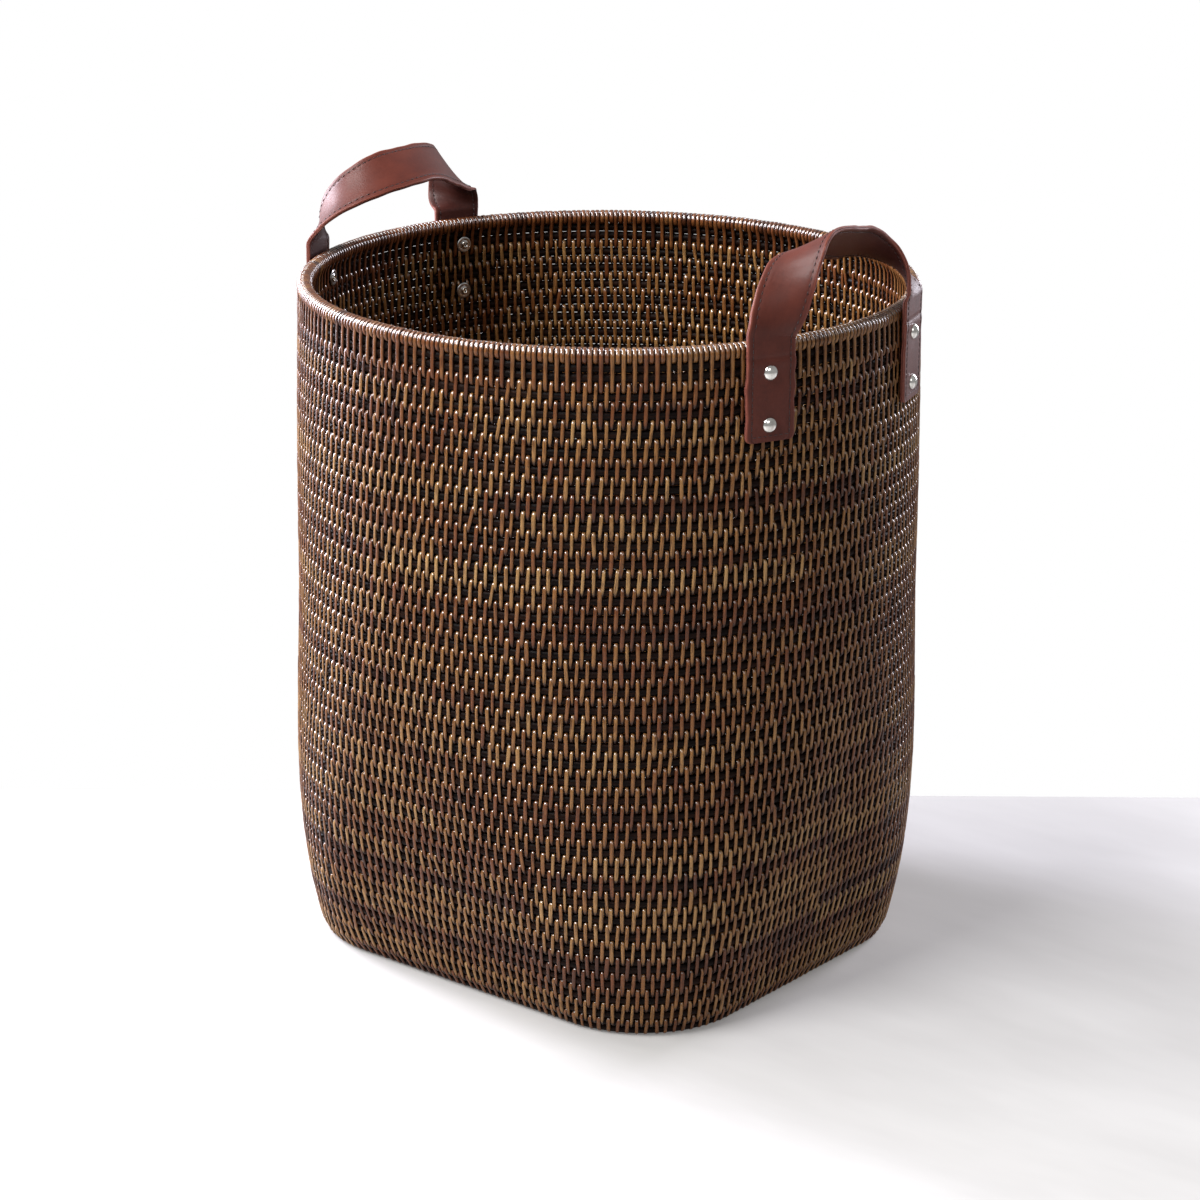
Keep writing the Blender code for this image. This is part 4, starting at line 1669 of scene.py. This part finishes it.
@dataclass
class Studio:
    """Camera, lights, sky and floor."""

    azimuth: float = math.radians(38.75)
    elevation: float = math.radians(18.2)
    distance: float = 2.625
    aim_height: float = 0.2541
    aim_shift: float = -0.0052
    lens: float = 107.0
    roll: float = math.radians(0.37)
    sky: float = 0.09
    sheen: float = 0.34
    backdrop: float = 1.0
    floor_back: float = 0.26
    floor_reach: float = 4.0

    def camera(self) -> None:
        """Sets up the camera, level with a person looking down on the basket."""
        right = Vector((math.cos(self.azimuth), math.sin(self.azimuth), 0))
        target = right * self.aim_shift + Vector((0, 0, self.aim_height))
        back = Vector((
            math.sin(self.azimuth) * math.cos(self.elevation),
            -math.cos(self.azimuth) * math.cos(self.elevation),
            math.sin(self.elevation),
        ))
        data = bpy.data.cameras.new("camera")
        data.lens = self.lens
        data.sensor_width = 36.0
        item = bpy.data.objects.new("camera", data)
        item.location = target + back * self.distance
        item.rotation_mode = "QUATERNION"
        item.rotation_quaternion = (-back).to_track_quat("-Z", "Y") @ Quaternion((0, 0, 1), self.roll)
        bpy.context.scene.collection.objects.link(item)
        bpy.context.scene.camera = item

    def lights(self) -> None:
        """Hangs the softboxes and the white sky."""
        target = Vector((0, 0, 0.28))
        turn = self.azimuth

        def around(degrees: float, distance: float, height: float) -> Triple:
            angle = turn + math.radians(degrees)
            return (math.sin(angle) * distance, -math.cos(angle) * distance, height)

        Softbox("key_softbox", around(-50, 1.5, 2.05), (1.1, 1.1), 58.0).build(target)
        Softbox("top_softbox", around(-95, 0.9, 2.1), (0.7, 0.7), 22.0).build(target)
        Softbox("front_softbox", around(15, 1.9, 1.6), (1.2, 0.9), 6.0).build(target)
        Softbox("left_softbox", around(-122, 1.8, 0.8), (0.5, 1.5), 85.0, (0.88, 0.88, 1.0)).build(target)
        Softbox("right_softbox", around(130, 1.9, 0.9), (0.4, 1.4), 34.0, (0.92, 0.90, 1.0)).build(target)
        world = bpy.data.worlds.new("white_sky")
        world.use_nodes = True
        nodes, links = world.node_tree.nodes, world.node_tree.links
        background = nodes["Background"]
        background.inputs["Color"].default_value = (1.0, 1.0, 1.0, 1.0)
        path = nodes.new("ShaderNodeLightPath")
        mirrored = nodes.new("ShaderNodeMapRange")
        mirrored.inputs["To Min"].default_value = self.sky
        mirrored.inputs["To Max"].default_value = self.sheen
        links.new(path.outputs["Is Glossy Ray"], mirrored.inputs["Value"])
        strength = nodes.new("ShaderNodeMapRange")
        links.new(mirrored.outputs["Result"], strength.inputs["To Min"])
        strength.inputs["To Max"].default_value = self.backdrop
        links.new(path.outputs["Is Camera Ray"], strength.inputs["Value"])
        links.new(strength.outputs["Result"], background.inputs["Strength"])
        bpy.context.scene.world = world
        bpy.context.scene.view_settings.view_transform = "Standard"

    def floor(self, material: Material) -> Piece:
        """Lays the floor, which ends a little way behind the basket."""
        away = np.array([-math.sin(self.azimuth), math.cos(self.azimuth), 0.0])
        right = np.array([math.cos(self.azimuth), math.sin(self.azimuth), 0.0])
        rows = np.linspace(-self.floor_reach, self.floor_back, 9)
        columns = np.linspace(-self.floor_reach, self.floor_reach, 9)
        points = (away * rows[:, None, None] + right * columns[None, :, None]).reshape(-1, 3)
        points[:, 2] = -0.0002
        index = np.arange(81).reshape(9, 9)
        corners = [index[:-1, :-1], index[:-1, 1:], index[1:, 1:], index[1:, :-1]]
        faces = np.stack(corners, axis=-1).reshape(-1, 4)
        item = add_mesh("floor", points, faces, [material])
        return item


# ---- Assembly ----


def dress(pieces: list[Piece], slot: Slot, *nodes: str) -> None:
    """Makes body pieces ride on the basket and stand for CAD nodes.

    Args:
        pieces: The pieces.
        slot: Not used.
        nodes: CAD nodes that they stand for.
    """
    for piece in pieces:
        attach(piece, Body.BASKET.value)
        if nodes:
            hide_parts(*nodes)
        log.info("%s: %d faces", piece.name, len(piece.data.polygons))


def main() -> None:
    """Builds the studio, then the basket from the floor up."""
    logging.basicConfig(level=logging.INFO, format="%(message)s")
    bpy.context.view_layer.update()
    studio = Studio()
    studio.camera()
    studio.lights()
    studio.floor(FloorFinish().material())

    cane = CaneFinish().material()
    rod = RodFinish().material()
    form = BasketForm()
    coil = Coil(form)
    foot, bottom = Base(form, coil).build(cane, rod)
    dress(foot, Slot.WEAVE, "foot_course")
    dress(bottom, Slot.WEAVE, "base_panel")
    dress(coil.build(cane, rod), Slot.WEAVE, "side_wall")
    winding, rim_rod = Rim(form, coil).build(cane, rod)
    dress([winding], Slot.CANE, "rim_wrap")
    dress([rim_rod], Slot.ROD, "rim_core")

    grain = LeatherFinish(
        "grain_leather", (0.042, 0.009, 0.007), (0.135, 0.030, 0.018), (0.220, 0.056, 0.034)
    )
    lining = LeatherFinish(
        "lining_leather", (0.035, 0.009, 0.008), (0.080, 0.021, 0.015), (0.190, 0.050, 0.032), 0.15, 0.44
    )
    finishes = [grain.material(), lining.material(), EdgeFinish().material(), ThreadFinish().material()]
    bright = NickelFinish("polished_nickel", (0.86, 0.84, 0.80), (0.62, 0.60, 0.56), 0.10).material()
    dull = NickelFinish("dull_nickel", (0.62, 0.62, 0.61), (0.26, 0.26, 0.26), 0.26).material()
    right_path = StrapPath(
        form, math.radians(-3), 0.043, math.radians(70),
        slump=(0.0044, 0.0053, 0.0013), sway=(0.0065, 0.0065, 0.0068), twist=(0.42, -0.10, 0.07),
    )
    left_path = StrapPath(
        form, math.pi, 0.0425, math.radians(44),
        slump=(0.0008, 0.0065, -0.0012), sway=(-0.0063, 0.0033, -0.0040), ripple=(-0.0057, 0.0, -0.0050),
        twist=(0.01, 0.15, 0.21),
    )
    straps = (("right", Body.RIGHT, right_path), ("left", Body.LEFT, left_path))
    for name, body, path in straps:
        for piece in LeatherHandle(name, body, path).build(*finishes):
            log.info("%s: %d faces", piece.name, len(piece.data.polygons))
        for number in (1, 2, 3, 4):
            for piece in Fastener(name, number).build(bright, dull):
                log.info("%s: %d faces", piece.name, len(piece.data.polygons))


if __name__ == "__main__":
    main()
